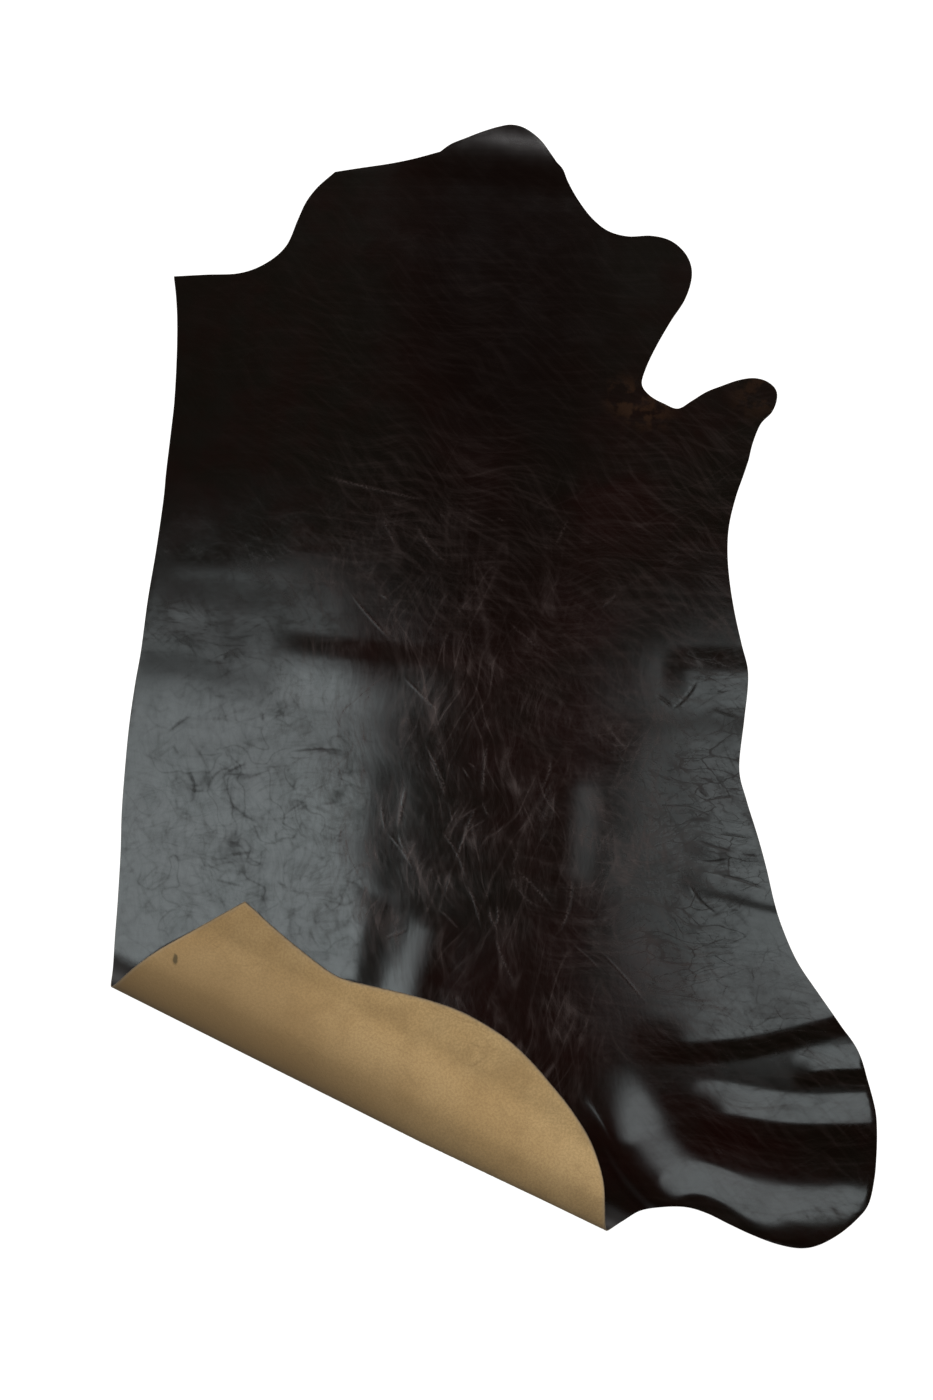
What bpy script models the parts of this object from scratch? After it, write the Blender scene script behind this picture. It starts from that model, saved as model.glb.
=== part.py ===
"""A side of leather: one half of a cattle hide, lying grain side up on a flat surface.

The backbone edge runs down the left, the neck is at the top, and the shanks and the
belly are on the right. The butt corner, at the lower left, is turned over along a
slanting fold, so that its flesh side shows. The whole side is a single cut sheet.

Metres. +X goes from the backbone to the belly, +Y to the neck and +Z up. The origin is
on the surface, under the middle of the sheet as it lies.
"""
import bpy
import numpy as np
from mathutils.geometry import delaunay_2d_cdt

# Driving dimensions.
THICKNESS = 0.002      # the leather, 2 mm
FLAP_GAP = 0.0015      # air left under the turned-over corner where it lies down
GRID_STEP = 0.036      # spacing of the points inside the sheet
LOOP_STEP = 0.010      # spacing of the rows round the loop of the fold
LANDING_STEP = 0.022   # spacing of the rows where the corner comes down
LOOP_ROWS = (0.05, -0.09)      # first and last row round the loop, inwards of the fold line
LANDING_END = -0.23            # last row where the corner comes down
SHEET_ROWS = (2.2, -0.6)       # rows and columns that take in the whole sheet
SHEET_COLUMNS = (-1.2, 1.6)
SPAN_STEPS = 3         # points that the edge curve gets between two of its marks
RIDGE_STEPS = 4        # points that the crest of a ridge gets between two of its marks
SCATTER = 0.15         # how far a point strays from its place in its row, in steps
SCATTER_SEED = 5

# The fold seen from above: its outermost line, from the backbone end to the butt end.
FOLD_START = np.array((-0.682, -0.541))
FOLD_END = np.array((0.205, -0.979))

# The loop at distances along the fold: its height, because the back is stiffer than the
# butt, and how far it bows out past the straight line.
#    along  height  bow
LOOP_STATIONS = (
    (0.00, 0.050, 0.000),
    (0.30, 0.049, 0.002),
    (0.62, 0.046, 0.004),
    (0.85, 0.039, 0.001),
    (0.99, 0.034, 0.000),
)

# Shape of the loop for a height of 1. Distances are measured inwards from the fold line.
LIFT_OFF = 0.72        # where the lower layer leaves the surface
BULGE_HEIGHT = 0.46    # height of the outermost point
CREST_SETBACK = 1.25   # where the loop is highest
LANDING_RUN = 2.21     # from the crest to where the corner lies flat

# The cut edge of the flat sheet, clockwise. Each stretch is one smooth curve through
# its marks, and two stretches meet at a corner or a nick.
EDGE_STRETCHES = {
    "neck cut": (
        (-0.575, 0.737), (-0.519, 0.740), (-0.456, 0.743), (-0.409, 0.761), (-0.373, 0.792),
        (-0.352, 0.839), (-0.337, 0.871), (-0.316, 0.898), (-0.285, 0.925),
    ),
    "throat": (
        (-0.285, 0.925), (-0.240, 0.932), (-0.186, 0.940), (-0.141, 0.949), (-0.096, 0.961),
    ),
    "neck tip": (
        (-0.096, 0.961), (-0.076, 0.975), (-0.049, 0.986), (-0.021, 0.997), (0.008, 1.006),
        (0.033, 1.010), (0.058, 1.003), (0.084, 0.983), (0.102, 0.959), (0.113, 0.943),
    ),
    "cheek and fore shank": (
        (0.113, 0.943), (0.125, 0.929), (0.134, 0.907), (0.152, 0.875), (0.177, 0.842),
        (0.206, 0.819), (0.242, 0.809), (0.285, 0.810), (0.321, 0.800), (0.348, 0.774),
        (0.357, 0.740), (0.345, 0.697), (0.318, 0.655), (0.291, 0.608), (0.273, 0.569),
        (0.267, 0.542), (0.282, 0.522), (0.307, 0.508), (0.332, 0.499), (0.357, 0.513),
        (0.383, 0.529), (0.411, 0.540), (0.440, 0.550), (0.467, 0.554), (0.490, 0.549),
        (0.507, 0.535), (0.510, 0.517), (0.501, 0.493), (0.481, 0.472), (0.467, 0.439),
        (0.459, 0.407),
    ),
    "belly and hind shank": (
        (0.459, 0.407), (0.451, 0.383), (0.436, 0.340), (0.424, 0.290), (0.421, 0.241),
        (0.425, 0.187), (0.434, 0.131), (0.446, 0.077), (0.457, 0.032), (0.457, -0.007),
        (0.451, -0.061), (0.442, -0.148), (0.455, -0.205), (0.474, -0.266), (0.491, -0.328),
        (0.505, -0.389), (0.521, -0.439), (0.547, -0.497), (0.585, -0.554), (0.624, -0.610),
        (0.655, -0.655), (0.673, -0.709), (0.686, -0.760), (0.689, -0.799), (0.689, -0.844),
        (0.685, -0.889), (0.674, -0.932), (0.652, -0.959), (0.620, -0.985), (0.584, -1.004),
        (0.552, -1.010), (0.512, -1.003), (0.465, -0.986), (0.422, -0.966), (0.383, -0.947),
        (0.345, -0.936), (0.300, -0.936), (0.264, -0.944), (0.235, -0.961), (0.203, -0.982),
        (0.157, -1.016), (0.107, -1.052), (0.053, -1.074), (-0.015, -1.083), (-0.082, -1.083),
        (-0.140, -1.080), (-0.190, -1.072), (-0.240, -1.056), (-0.284, -1.036),
        (-0.325, -1.010), (-0.368, -0.978), (-0.411, -0.943), (-0.451, -0.911),
        (-0.481, -0.895), (-0.547, -0.877), (-0.615, -0.862), (-0.652, -0.856),
        (-0.676, -0.851),
    ),
    "backbone": (
        (-0.676, -0.851), (-0.685, -0.790), (-0.693, -0.730), (-0.697, -0.670),
        (-0.697, -0.610), (-0.691, -0.555), (-0.685, -0.510), (-0.681, -0.450),
        (-0.676, -0.385), (-0.671, -0.300), (-0.669, -0.230), (-0.664, -0.160),
        (-0.656, -0.075), (-0.645, 0.002), (-0.634, 0.065), (-0.622, 0.155),
        (-0.607, 0.244), (-0.594, 0.334), (-0.589, 0.385), (-0.580, 0.460),
        (-0.574, 0.515), (-0.570, 0.590), (-0.569, 0.655), (-0.571, 0.700),
        (-0.575, 0.737),
    ),
}

# Where the sheet doesn't lie flat: soft ridges. Each has a crest through a few marks, a
# height, and how far its flanks reach to the left and to the right of the way that the
# crest runs. It fades out at both ends, some of them past the edge of the sheet.
#    ridge                 height left   right  marks on the crest
RIDGES = (
    ("neck tip",            0.0025, 0.060, 0.062,
     ((-0.190, 0.968), (0.000, 0.955), (0.210, 0.925))),
    ("loin, backbone end",  0.0007, 0.060, 0.090,
     ((-0.720, 0.030), (-0.560, 0.005), (-0.440, -0.020), (-0.330, -0.030))),
    ("loin, middle",        0.0020, 0.050, 0.100,
     ((-0.420, 0.062), (-0.270, 0.042), (-0.130, 0.030), (0.020, 0.020))),
    ("belly, loin end",     0.0020, 0.050, 0.060,
     ((0.300, 0.022), (0.380, 0.024), (0.460, 0.022), (0.560, 0.026))),
    ("belly, middle",       0.0018, 0.080, 0.090,
     ((0.180, -0.116), (0.300, -0.112), (0.440, -0.110), (0.640, -0.105))),
    ("flank, upper",        0.0010, 0.040, 0.020,
     ((0.340, -0.296), (0.440, -0.303), (0.500, -0.306), (0.620, -0.308))),
    ("flank, lower",        0.0014, 0.050, 0.030,
     ((0.325, -0.350), (0.410, -0.362), (0.500, -0.385), (0.640, -0.412))),
    ("hind shank, upper",   0.0045, 0.070, 0.040,
     ((0.240, -0.640), (0.350, -0.642), (0.444, -0.634), (0.520, -0.618), (0.590, -0.600),
      (0.700, -0.572), (0.830, -0.535))),
    ("hind shank, notch",   0.0032, 0.045, 0.026,
     ((0.530, -0.700), (0.610, -0.692), (0.700, -0.688), (0.800, -0.690))),
    ("hind shank, middle",  0.0066, 0.062, 0.065,
     ((0.330, -0.755), (0.420, -0.773), (0.530, -0.790), (0.660, -0.790), (0.820, -0.780))),
    ("hind shank, lower",   0.0095, 0.118, 0.040,
     ((0.160, -0.690), (0.186, -0.755), (0.218, -0.820), (0.258, -0.882), (0.314, -0.934),
      (0.400, -0.972), (0.500, -0.990), (0.640, -0.995), (0.840, -0.980))),
)
RIDGE_FADE = 0.20      # share of a ridge's length over which it rises, and falls again

LEATHER_COLOUR = (0.030, 0.018, 0.014, 1.0)
LEATHER_ROUGHNESS = 0.35


def smooth_step(x):
    """0 below 0, 1 above 1, and an S curve that is level at both ends between them."""
    x = np.clip(x, 0.0, 1.0)
    return x * x * (3.0 - 2.0 * x)


def smooth_stretch(marks, steps):
    """Catmull-Rom curve through the marks: each span is a cubic that leaves its marks
    in the direction of their neighbours. The last mark is left to the next stretch."""
    p = np.array(marks)
    p = np.vstack((2.0 * p[0] - p[1], p, 2.0 * p[-1] - p[-2]))
    before, start, end, after = p[:-3], p[1:-2], p[2:-1], p[3:]
    f = np.linspace(0.0, 1.0, steps, endpoint=False)[:, None, None]
    curve = 0.5 * (
        2.0 * start
        + (end - before) * f
        + (2.0 * before - 5.0 * start + 4.0 * end - after) * f ** 2
        + (3.0 * start - before - 3.0 * end + after) * f ** 3
    )
    return curve.transpose(1, 0, 2).reshape(-1, 2)


def cut_edge():
    """The whole cut edge of the flat sheet as a closed ring of points."""
    return np.vstack([smooth_stretch(marks, SPAN_STEPS) for marks in EDGE_STRETCHES.values()])


def fold_axes():
    """Unit vectors along the fold, and from the fold inwards over the sheet."""
    along = (FOLD_END - FOLD_START) / np.linalg.norm(FOLD_END - FOLD_START)
    return along, np.array((-along[1], along[0]))


def unit_loop(steps=48):
    """Path of the flesh side round a loop of height 1: its distance inwards from the
    fold line, its height, and its length from the point where it leaves the surface.
    A quarter ellipse goes out and up, another goes back to the crest, and half a
    cosine wave comes down to the surface again."""
    turn = np.linspace(0.0, np.pi / 2.0, steps)
    fall = np.linspace(0.0, 1.0, 2 * steps)[1:]
    inwards = np.concatenate((
        LIFT_OFF * (1.0 - np.sin(turn)),
        CREST_SETBACK * (1.0 - np.cos(turn[1:])),
        CREST_SETBACK + LANDING_RUN * fall,
    ))
    height = np.concatenate((
        BULGE_HEIGHT * (1.0 - np.cos(turn)),
        BULGE_HEIGHT + (1.0 - BULGE_HEIGHT) * np.sin(turn[1:]),
        0.5 * (1.0 + np.cos(np.pi * fall)),
    ))
    length = np.concatenate(((0.0,), np.cumsum(np.hypot(np.diff(inwards), np.diff(height)))))
    return inwards, height, length


def place_along(x, y, curve):
    """Share of a curve's length at the point of it that is nearest to each place, and the
    distance from it, which is above 0 on the left of the curve."""
    start, side = curve[:-1], np.diff(curve, axis=0)
    length = np.hypot(*side.T)
    dx, dy = x[:, None] - start[:, 0], y[:, None] - start[:, 1]
    along = np.clip((dx * side[:, 0] + dy * side[:, 1]) / length ** 2, 0.0, 1.0)
    gap = np.hypot(dx - along * side[:, 0], dy - along * side[:, 1])
    nearest = gap.argmin(axis=1)
    pick = np.arange(len(x)), nearest
    turned = np.sign(side[nearest, 0] * dy[pick] - side[nearest, 1] * dx[pick])
    walked = (np.cumsum(length) - length)[nearest] + along[pick] * length[nearest]
    return walked / length.sum(), gap[pick] * turned


def ridges(x, y):
    """Height of the soft ridges over the surface: across each one a raised cosine with
    its own reach on either side, and along it a rise and a fall."""
    height = np.zeros_like(x)
    for _, crest, left, right, marks in RIDGES:
        curve = np.vstack((smooth_stretch(marks, RIDGE_STEPS), marks[-1]))
        share, sideways = place_along(x, y, curve)
        across = np.clip(np.abs(sideways) / np.where(sideways > 0.0, left, right), 0.0, 1.0)
        fade = smooth_step(share / RIDGE_FADE) * smooth_step((1.0 - share) / RIDGE_FADE)
        height += crest * fade * 0.5 * (1.0 + np.cos(np.pi * across))
    return height


def lay_down(flat):
    """Where each point of the flat sheet lies. Up to the loop it stays in its place.
    From there on, its distance from the lift-off line is its way round the loop."""
    along, inwards = fold_axes()
    u = (flat - FOLD_START) @ along
    v = (flat - FOLD_START) @ inwards
    stations, heights, bows = np.transpose(LOOP_STATIONS)
    loop = np.interp(u, stations, heights)
    way = np.maximum(LIFT_OFF * loop - v, 0.0) / loop
    path_in, path_height, path_length = unit_loop()
    past = np.maximum(way - path_length[-1], 0.0)
    bow = np.interp(u, stations, bows) * smooth_step(way) * smooth_step(2.0 - way / 2.0)
    folded_v = loop * (np.interp(way, path_length, path_in) + past) - bow
    v = np.where(way > 0.0, folded_v, v)
    xy = FOLD_START + u[:, None] * along + v[:, None] * inwards
    layers = (2.0 * THICKNESS + FLAP_GAP) * smooth_step(way / path_length[-1])
    z = loop * np.interp(way, path_length, path_height) + layers + ridges(xy[:, 0], xy[:, 1])
    return np.column_stack((xy, z))


def inner_points(edge):
    """Points inside the flat sheet, in rows parallel to the fold that are closer
    together round the loop. They are scattered a little, so that no three are in line,
    and none is nearer to the edge than half a step."""
    along, inwards = fold_axes()
    loop_rows = np.arange(LOOP_ROWS[0], LOOP_ROWS[1], -LOOP_STEP)
    landing_rows = np.arange(loop_rows[-1] - LANDING_STEP, LANDING_END, -LANDING_STEP)
    rows = np.concatenate((
        np.arange(loop_rows[0] + GRID_STEP, SHEET_ROWS[0], GRID_STEP),
        loop_rows,
        landing_rows,
        np.arange(landing_rows[-1] - GRID_STEP, SHEET_ROWS[1], -GRID_STEP),
    ))
    columns = np.arange(*SHEET_COLUMNS, GRID_STEP)
    u, v = (axis.ravel() for axis in np.meshgrid(columns, rows))
    row_gap = np.where((v < loop_rows[0]) & (v > landing_rows[-1]), LOOP_STEP, GRID_STEP)
    scatter = np.random.default_rng(SCATTER_SEED).uniform(-SCATTER, SCATTER, (2, len(u)))
    u, v = np.stack((u, v)) + scatter * row_gap
    points = FOLD_START + u[:, None] * along + v[:, None] * inwards
    inside = np.zeros(len(points), dtype=bool)
    clear = np.full(len(points), np.inf)
    for a, b in zip(edge, np.roll(edge, -1, axis=0)):
        crosses = (a[1] > points[:, 1]) != (b[1] > points[:, 1])
        rise = b[1] - a[1] if b[1] != a[1] else 1.0
        inside ^= crosses & (points[:, 0] < a[0] + (b[0] - a[0]) * (points[:, 1] - a[1]) / rise)
        share = np.clip((points - a) @ (b - a) / ((b - a) @ (b - a)), 0.0, 1.0)
        clear = np.minimum(clear, np.linalg.norm(points - a - share[:, None] * (b - a), axis=1))
    return points[inside & (clear > 0.5 * row_gap)]


def leather_material():
    """Dark brown leather with a soft gloss."""
    material = bpy.data.materials.new("dark_brown_leather")
    material.use_nodes = True
    shader = material.node_tree.nodes["Principled BSDF"]
    shader.inputs["Base Color"].default_value = LEATHER_COLOUR
    shader.inputs["Roughness"].default_value = LEATHER_ROUGHNESS
    shader.inputs["Metallic"].default_value = 0.0
    return material


def make_hide():
    """The sheet: its flesh side as it lies, and its thickness added on the grain side."""
    edge = cut_edge()
    flat = np.vstack((edge, inner_points(edge)))
    ring = list(range(len(edge)))
    only_inside = 1
    flat_points, _, triangles, *_ = delaunay_2d_cdt(flat.tolist(), [], [ring], only_inside, 1e-6)
    lying = lay_down(np.array([tuple(point) for point in flat_points]))

    mesh = bpy.data.meshes.new("hide")
    mesh.from_pydata(lying.tolist(), [], triangles)
    mesh.flip_normals()
    hide = bpy.data.objects.new("hide", mesh)
    bpy.context.scene.collection.objects.link(hide)
    mesh.materials.append(leather_material())

    thickness = hide.modifiers.new("thickness", "SOLIDIFY")
    thickness.thickness = THICKNESS
    thickness.offset = -1.0
    thickness.use_even_offset = True
    thickness.use_quality_normals = True
    mesh.shade_smooth()
    return hide


for old in list(bpy.data.objects):
    bpy.data.objects.remove(old, do_unlink=True)
make_hide()
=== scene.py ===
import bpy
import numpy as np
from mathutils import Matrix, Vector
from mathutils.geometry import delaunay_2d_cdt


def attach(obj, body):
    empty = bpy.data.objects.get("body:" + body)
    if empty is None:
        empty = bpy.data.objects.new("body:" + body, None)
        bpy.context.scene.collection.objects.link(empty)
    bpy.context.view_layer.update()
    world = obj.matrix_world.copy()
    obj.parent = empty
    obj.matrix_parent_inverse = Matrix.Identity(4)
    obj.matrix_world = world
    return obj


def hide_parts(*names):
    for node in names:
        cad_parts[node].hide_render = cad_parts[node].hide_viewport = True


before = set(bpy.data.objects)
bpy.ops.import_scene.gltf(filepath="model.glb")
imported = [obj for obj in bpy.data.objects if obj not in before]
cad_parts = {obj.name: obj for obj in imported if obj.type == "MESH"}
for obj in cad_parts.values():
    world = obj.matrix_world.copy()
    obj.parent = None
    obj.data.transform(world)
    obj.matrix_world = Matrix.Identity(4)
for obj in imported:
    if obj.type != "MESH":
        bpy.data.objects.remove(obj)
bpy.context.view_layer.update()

# A side of dark glossy cattle leather, grain side up, with its butt corner turned over.
# Metres. +X goes from the backbone to the belly, +Y to the neck and +Z up. The surface
# that the side lies on is at Z = 0. Shapes are worked out on the flat cut sheet first,
# and lay_down() then says where each point of it lies.

# ----------------------------------------------------------------- the cut sheet

THICKNESS = 0.002      # the leather, 2 mm
FLAP_GAP = 0.0015      # air left under the turned-over corner where it lies down

# The fold seen from above: its outermost line, from the backbone end to the butt end.
FOLD_START = np.array((-0.682, -0.541))
FOLD_END = np.array((0.205, -0.979))

# The loop at distances along the fold: its height, because the back is stiffer than the
# butt, and how far it bows out past the straight line.
#    along  height  bow
LOOP_STATIONS = (
    (0.00, 0.050, 0.000),
    (0.30, 0.049, 0.002),
    (0.62, 0.046, 0.004),
    (0.85, 0.039, 0.001),
    (0.99, 0.034, 0.000),
)

# Shape of the loop for a height of 1. Distances are measured inwards from the fold line.
LIFT_OFF = 0.72        # where the lower layer leaves the surface
BULGE_HEIGHT = 0.46    # height of the outermost point
CREST_SETBACK = 1.25   # where the loop is highest
LANDING_RUN = 2.21     # from the crest to where the corner lies flat

# The cut edge of the flat sheet, clockwise. Each stretch is one smooth curve through
# its marks, and two stretches meet at a corner or a nick.
EDGE_STRETCHES = {
    "neck cut": (
        (-0.575, 0.737), (-0.519, 0.740), (-0.456, 0.743), (-0.409, 0.761), (-0.373, 0.792),
        (-0.352, 0.839), (-0.337, 0.871), (-0.316, 0.898), (-0.285, 0.925),
    ),
    "throat": (
        (-0.285, 0.925), (-0.240, 0.932), (-0.186, 0.940), (-0.141, 0.949), (-0.096, 0.961),
    ),
    "neck tip": (
        (-0.096, 0.961), (-0.076, 0.975), (-0.049, 0.986), (-0.021, 0.997), (0.008, 1.006),
        (0.033, 1.010), (0.058, 1.003), (0.084, 0.983), (0.102, 0.959), (0.113, 0.943),
    ),
    "cheek and fore shank": (
        (0.113, 0.943), (0.125, 0.929), (0.134, 0.907), (0.152, 0.875), (0.177, 0.842),
        (0.206, 0.819), (0.242, 0.809), (0.285, 0.810), (0.321, 0.800), (0.348, 0.774),
        (0.357, 0.740), (0.345, 0.697), (0.318, 0.655), (0.291, 0.608), (0.273, 0.569),
        (0.267, 0.542), (0.282, 0.522), (0.307, 0.508), (0.332, 0.499), (0.357, 0.513),
        (0.383, 0.529), (0.411, 0.540), (0.440, 0.550), (0.467, 0.554), (0.490, 0.549),
        (0.507, 0.535), (0.510, 0.517), (0.501, 0.493), (0.481, 0.472), (0.467, 0.439),
        (0.459, 0.407),
    ),
    "belly and hind shank": (
        (0.459, 0.407), (0.451, 0.383), (0.436, 0.340), (0.424, 0.290), (0.421, 0.241),
        (0.425, 0.187), (0.434, 0.131), (0.446, 0.077), (0.457, 0.032), (0.457, -0.007),
        (0.451, -0.061), (0.442, -0.148), (0.455, -0.205), (0.474, -0.266), (0.491, -0.328),
        (0.505, -0.389), (0.521, -0.439), (0.547, -0.497), (0.585, -0.554), (0.624, -0.610),
        (0.655, -0.655), (0.673, -0.709), (0.686, -0.760), (0.689, -0.799), (0.689, -0.844),
        (0.685, -0.889), (0.674, -0.932), (0.652, -0.959), (0.620, -0.985), (0.584, -1.004),
        (0.552, -1.010), (0.512, -1.003), (0.465, -0.986), (0.422, -0.966), (0.383, -0.947),
        (0.345, -0.936), (0.300, -0.936), (0.264, -0.944), (0.235, -0.961), (0.203, -0.982),
        (0.157, -1.016), (0.107, -1.052), (0.053, -1.074), (-0.015, -1.083), (-0.082, -1.083),
        (-0.140, -1.080), (-0.190, -1.072), (-0.240, -1.056), (-0.284, -1.036),
        (-0.325, -1.010), (-0.368, -0.978), (-0.411, -0.943), (-0.451, -0.911),
        (-0.481, -0.895), (-0.547, -0.877), (-0.615, -0.862), (-0.652, -0.856),
        (-0.676, -0.851),
    ),
    "backbone": (
        (-0.676, -0.851), (-0.685, -0.790), (-0.693, -0.730), (-0.697, -0.670),
        (-0.697, -0.610), (-0.691, -0.555), (-0.685, -0.510), (-0.681, -0.450),
        (-0.676, -0.385), (-0.671, -0.300), (-0.669, -0.230), (-0.664, -0.160),
        (-0.656, -0.075), (-0.645, 0.002), (-0.634, 0.065), (-0.622, 0.155),
        (-0.607, 0.244), (-0.594, 0.334), (-0.589, 0.385), (-0.580, 0.460),
        (-0.574, 0.515), (-0.570, 0.590), (-0.569, 0.655), (-0.571, 0.700),
        (-0.575, 0.737),
    ),
}

# Where the sheet doesn't lie flat: soft ridges. Each has a crest through a few marks, a
# height, and how far its flanks reach to the left and to the right of the way that the
# crest runs. It fades out at both ends, some of them past the edge of the sheet.
#    ridge                 height left   right  marks on the crest
RIDGES = (
    ("neck tip",            0.0025, 0.060, 0.062,
     ((-0.190, 0.968), (0.000, 0.955), (0.210, 0.925))),
    ("loin, backbone end",  0.0007, 0.060, 0.090,
     ((-0.720, 0.030), (-0.560, 0.005), (-0.440, -0.020), (-0.330, -0.030))),
    ("loin, middle",        0.0020, 0.050, 0.100,
     ((-0.420, 0.062), (-0.270, 0.042), (-0.130, 0.030), (0.020, 0.020))),
    ("belly, loin end",     0.0020, 0.050, 0.060,
     ((0.300, 0.022), (0.380, 0.024), (0.460, 0.022), (0.560, 0.026))),
    ("belly, middle",       0.0018, 0.080, 0.090,
     ((0.180, -0.116), (0.300, -0.112), (0.440, -0.110), (0.640, -0.105))),
    ("flank, upper",        0.0010, 0.040, 0.020,
     ((0.340, -0.296), (0.440, -0.303), (0.500, -0.306), (0.620, -0.308))),
    ("flank, lower",        0.0014, 0.050, 0.030,
     ((0.325, -0.350), (0.410, -0.362), (0.500, -0.385), (0.640, -0.412))),
    ("hind shank, upper",   0.0045, 0.070, 0.040,
     ((0.240, -0.640), (0.350, -0.642), (0.444, -0.634), (0.520, -0.618), (0.590, -0.600),
      (0.700, -0.572), (0.830, -0.535))),
    ("hind shank, notch",   0.0032, 0.045, 0.026,
     ((0.530, -0.700), (0.610, -0.692), (0.700, -0.688), (0.800, -0.690))),
    ("hind shank, middle",  0.0066, 0.062, 0.065,
     ((0.330, -0.755), (0.420, -0.773), (0.530, -0.790), (0.660, -0.790), (0.820, -0.780))),
    ("hind shank, lower",   0.0095, 0.118, 0.040,
     ((0.160, -0.690), (0.186, -0.755), (0.218, -0.820), (0.258, -0.882), (0.314, -0.934),
      (0.400, -0.972), (0.500, -0.990), (0.640, -0.995), (0.840, -0.980))),
)
RIDGE_FADE = 0.20      # share of a ridge's length over which it rises, and falls again

# Low dents and swellings of the grain side alone, in the same terms as the ridges.
DENTS = (
    ("edge of the loin gloss",   0.0006, 0.070, 0.120,
     ((-0.222, -0.120), (-0.232, -0.210), (-0.232, -0.310), (-0.215, -0.400))),
    ("gap above the corner",     0.0014, 0.050, 0.060,
     ((-0.262, -0.560), (-0.250, -0.480), (-0.238, -0.430), (-0.220, -0.370))),
    ("gloss above the corner",   0.0013, 0.070, 0.036,
     ((-0.145, -0.600), (-0.128, -0.540), (-0.108, -0.485), (-0.085, -0.410))),
    ("shade beside the glow",    0.0010, 0.140, 0.160,
     ((-0.330, 0.300), (-0.320, 0.200), (-0.306, 0.090), (-0.290, -0.025))),
    ("glow on the loin",         0.0003, 0.040, 0.032,
     ((-0.600, 0.222), (-0.510, 0.216), (-0.430, 0.214), (-0.360, 0.206))),
    ("glow below it",            0.0002, 0.040, 0.030,
     ((-0.620, 0.150), (-0.540, 0.140), (-0.450, 0.132), (-0.380, 0.136))),
    ("gloss in the flank",       0.0016, 0.072, 0.062,
     ((0.132, -0.150), (0.129, -0.225), (0.124, -0.290), (0.112, -0.375))),
    ("edge of the hind shank",   0.0019, 0.055, 0.034,
     ((0.270, -1.060), (0.302, -0.985), (0.326, -0.930), (0.352, -0.910), (0.392, -0.914),
      (0.440, -0.944), (0.492, -1.010), (0.530, -1.100))),
    ("end of the hind shank",    0.0009, 0.050, 0.050,
     ((0.660, -0.640), (0.663, -0.740), (0.662, -0.840), (0.650, -0.910), (0.610, -1.000))),
)

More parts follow.
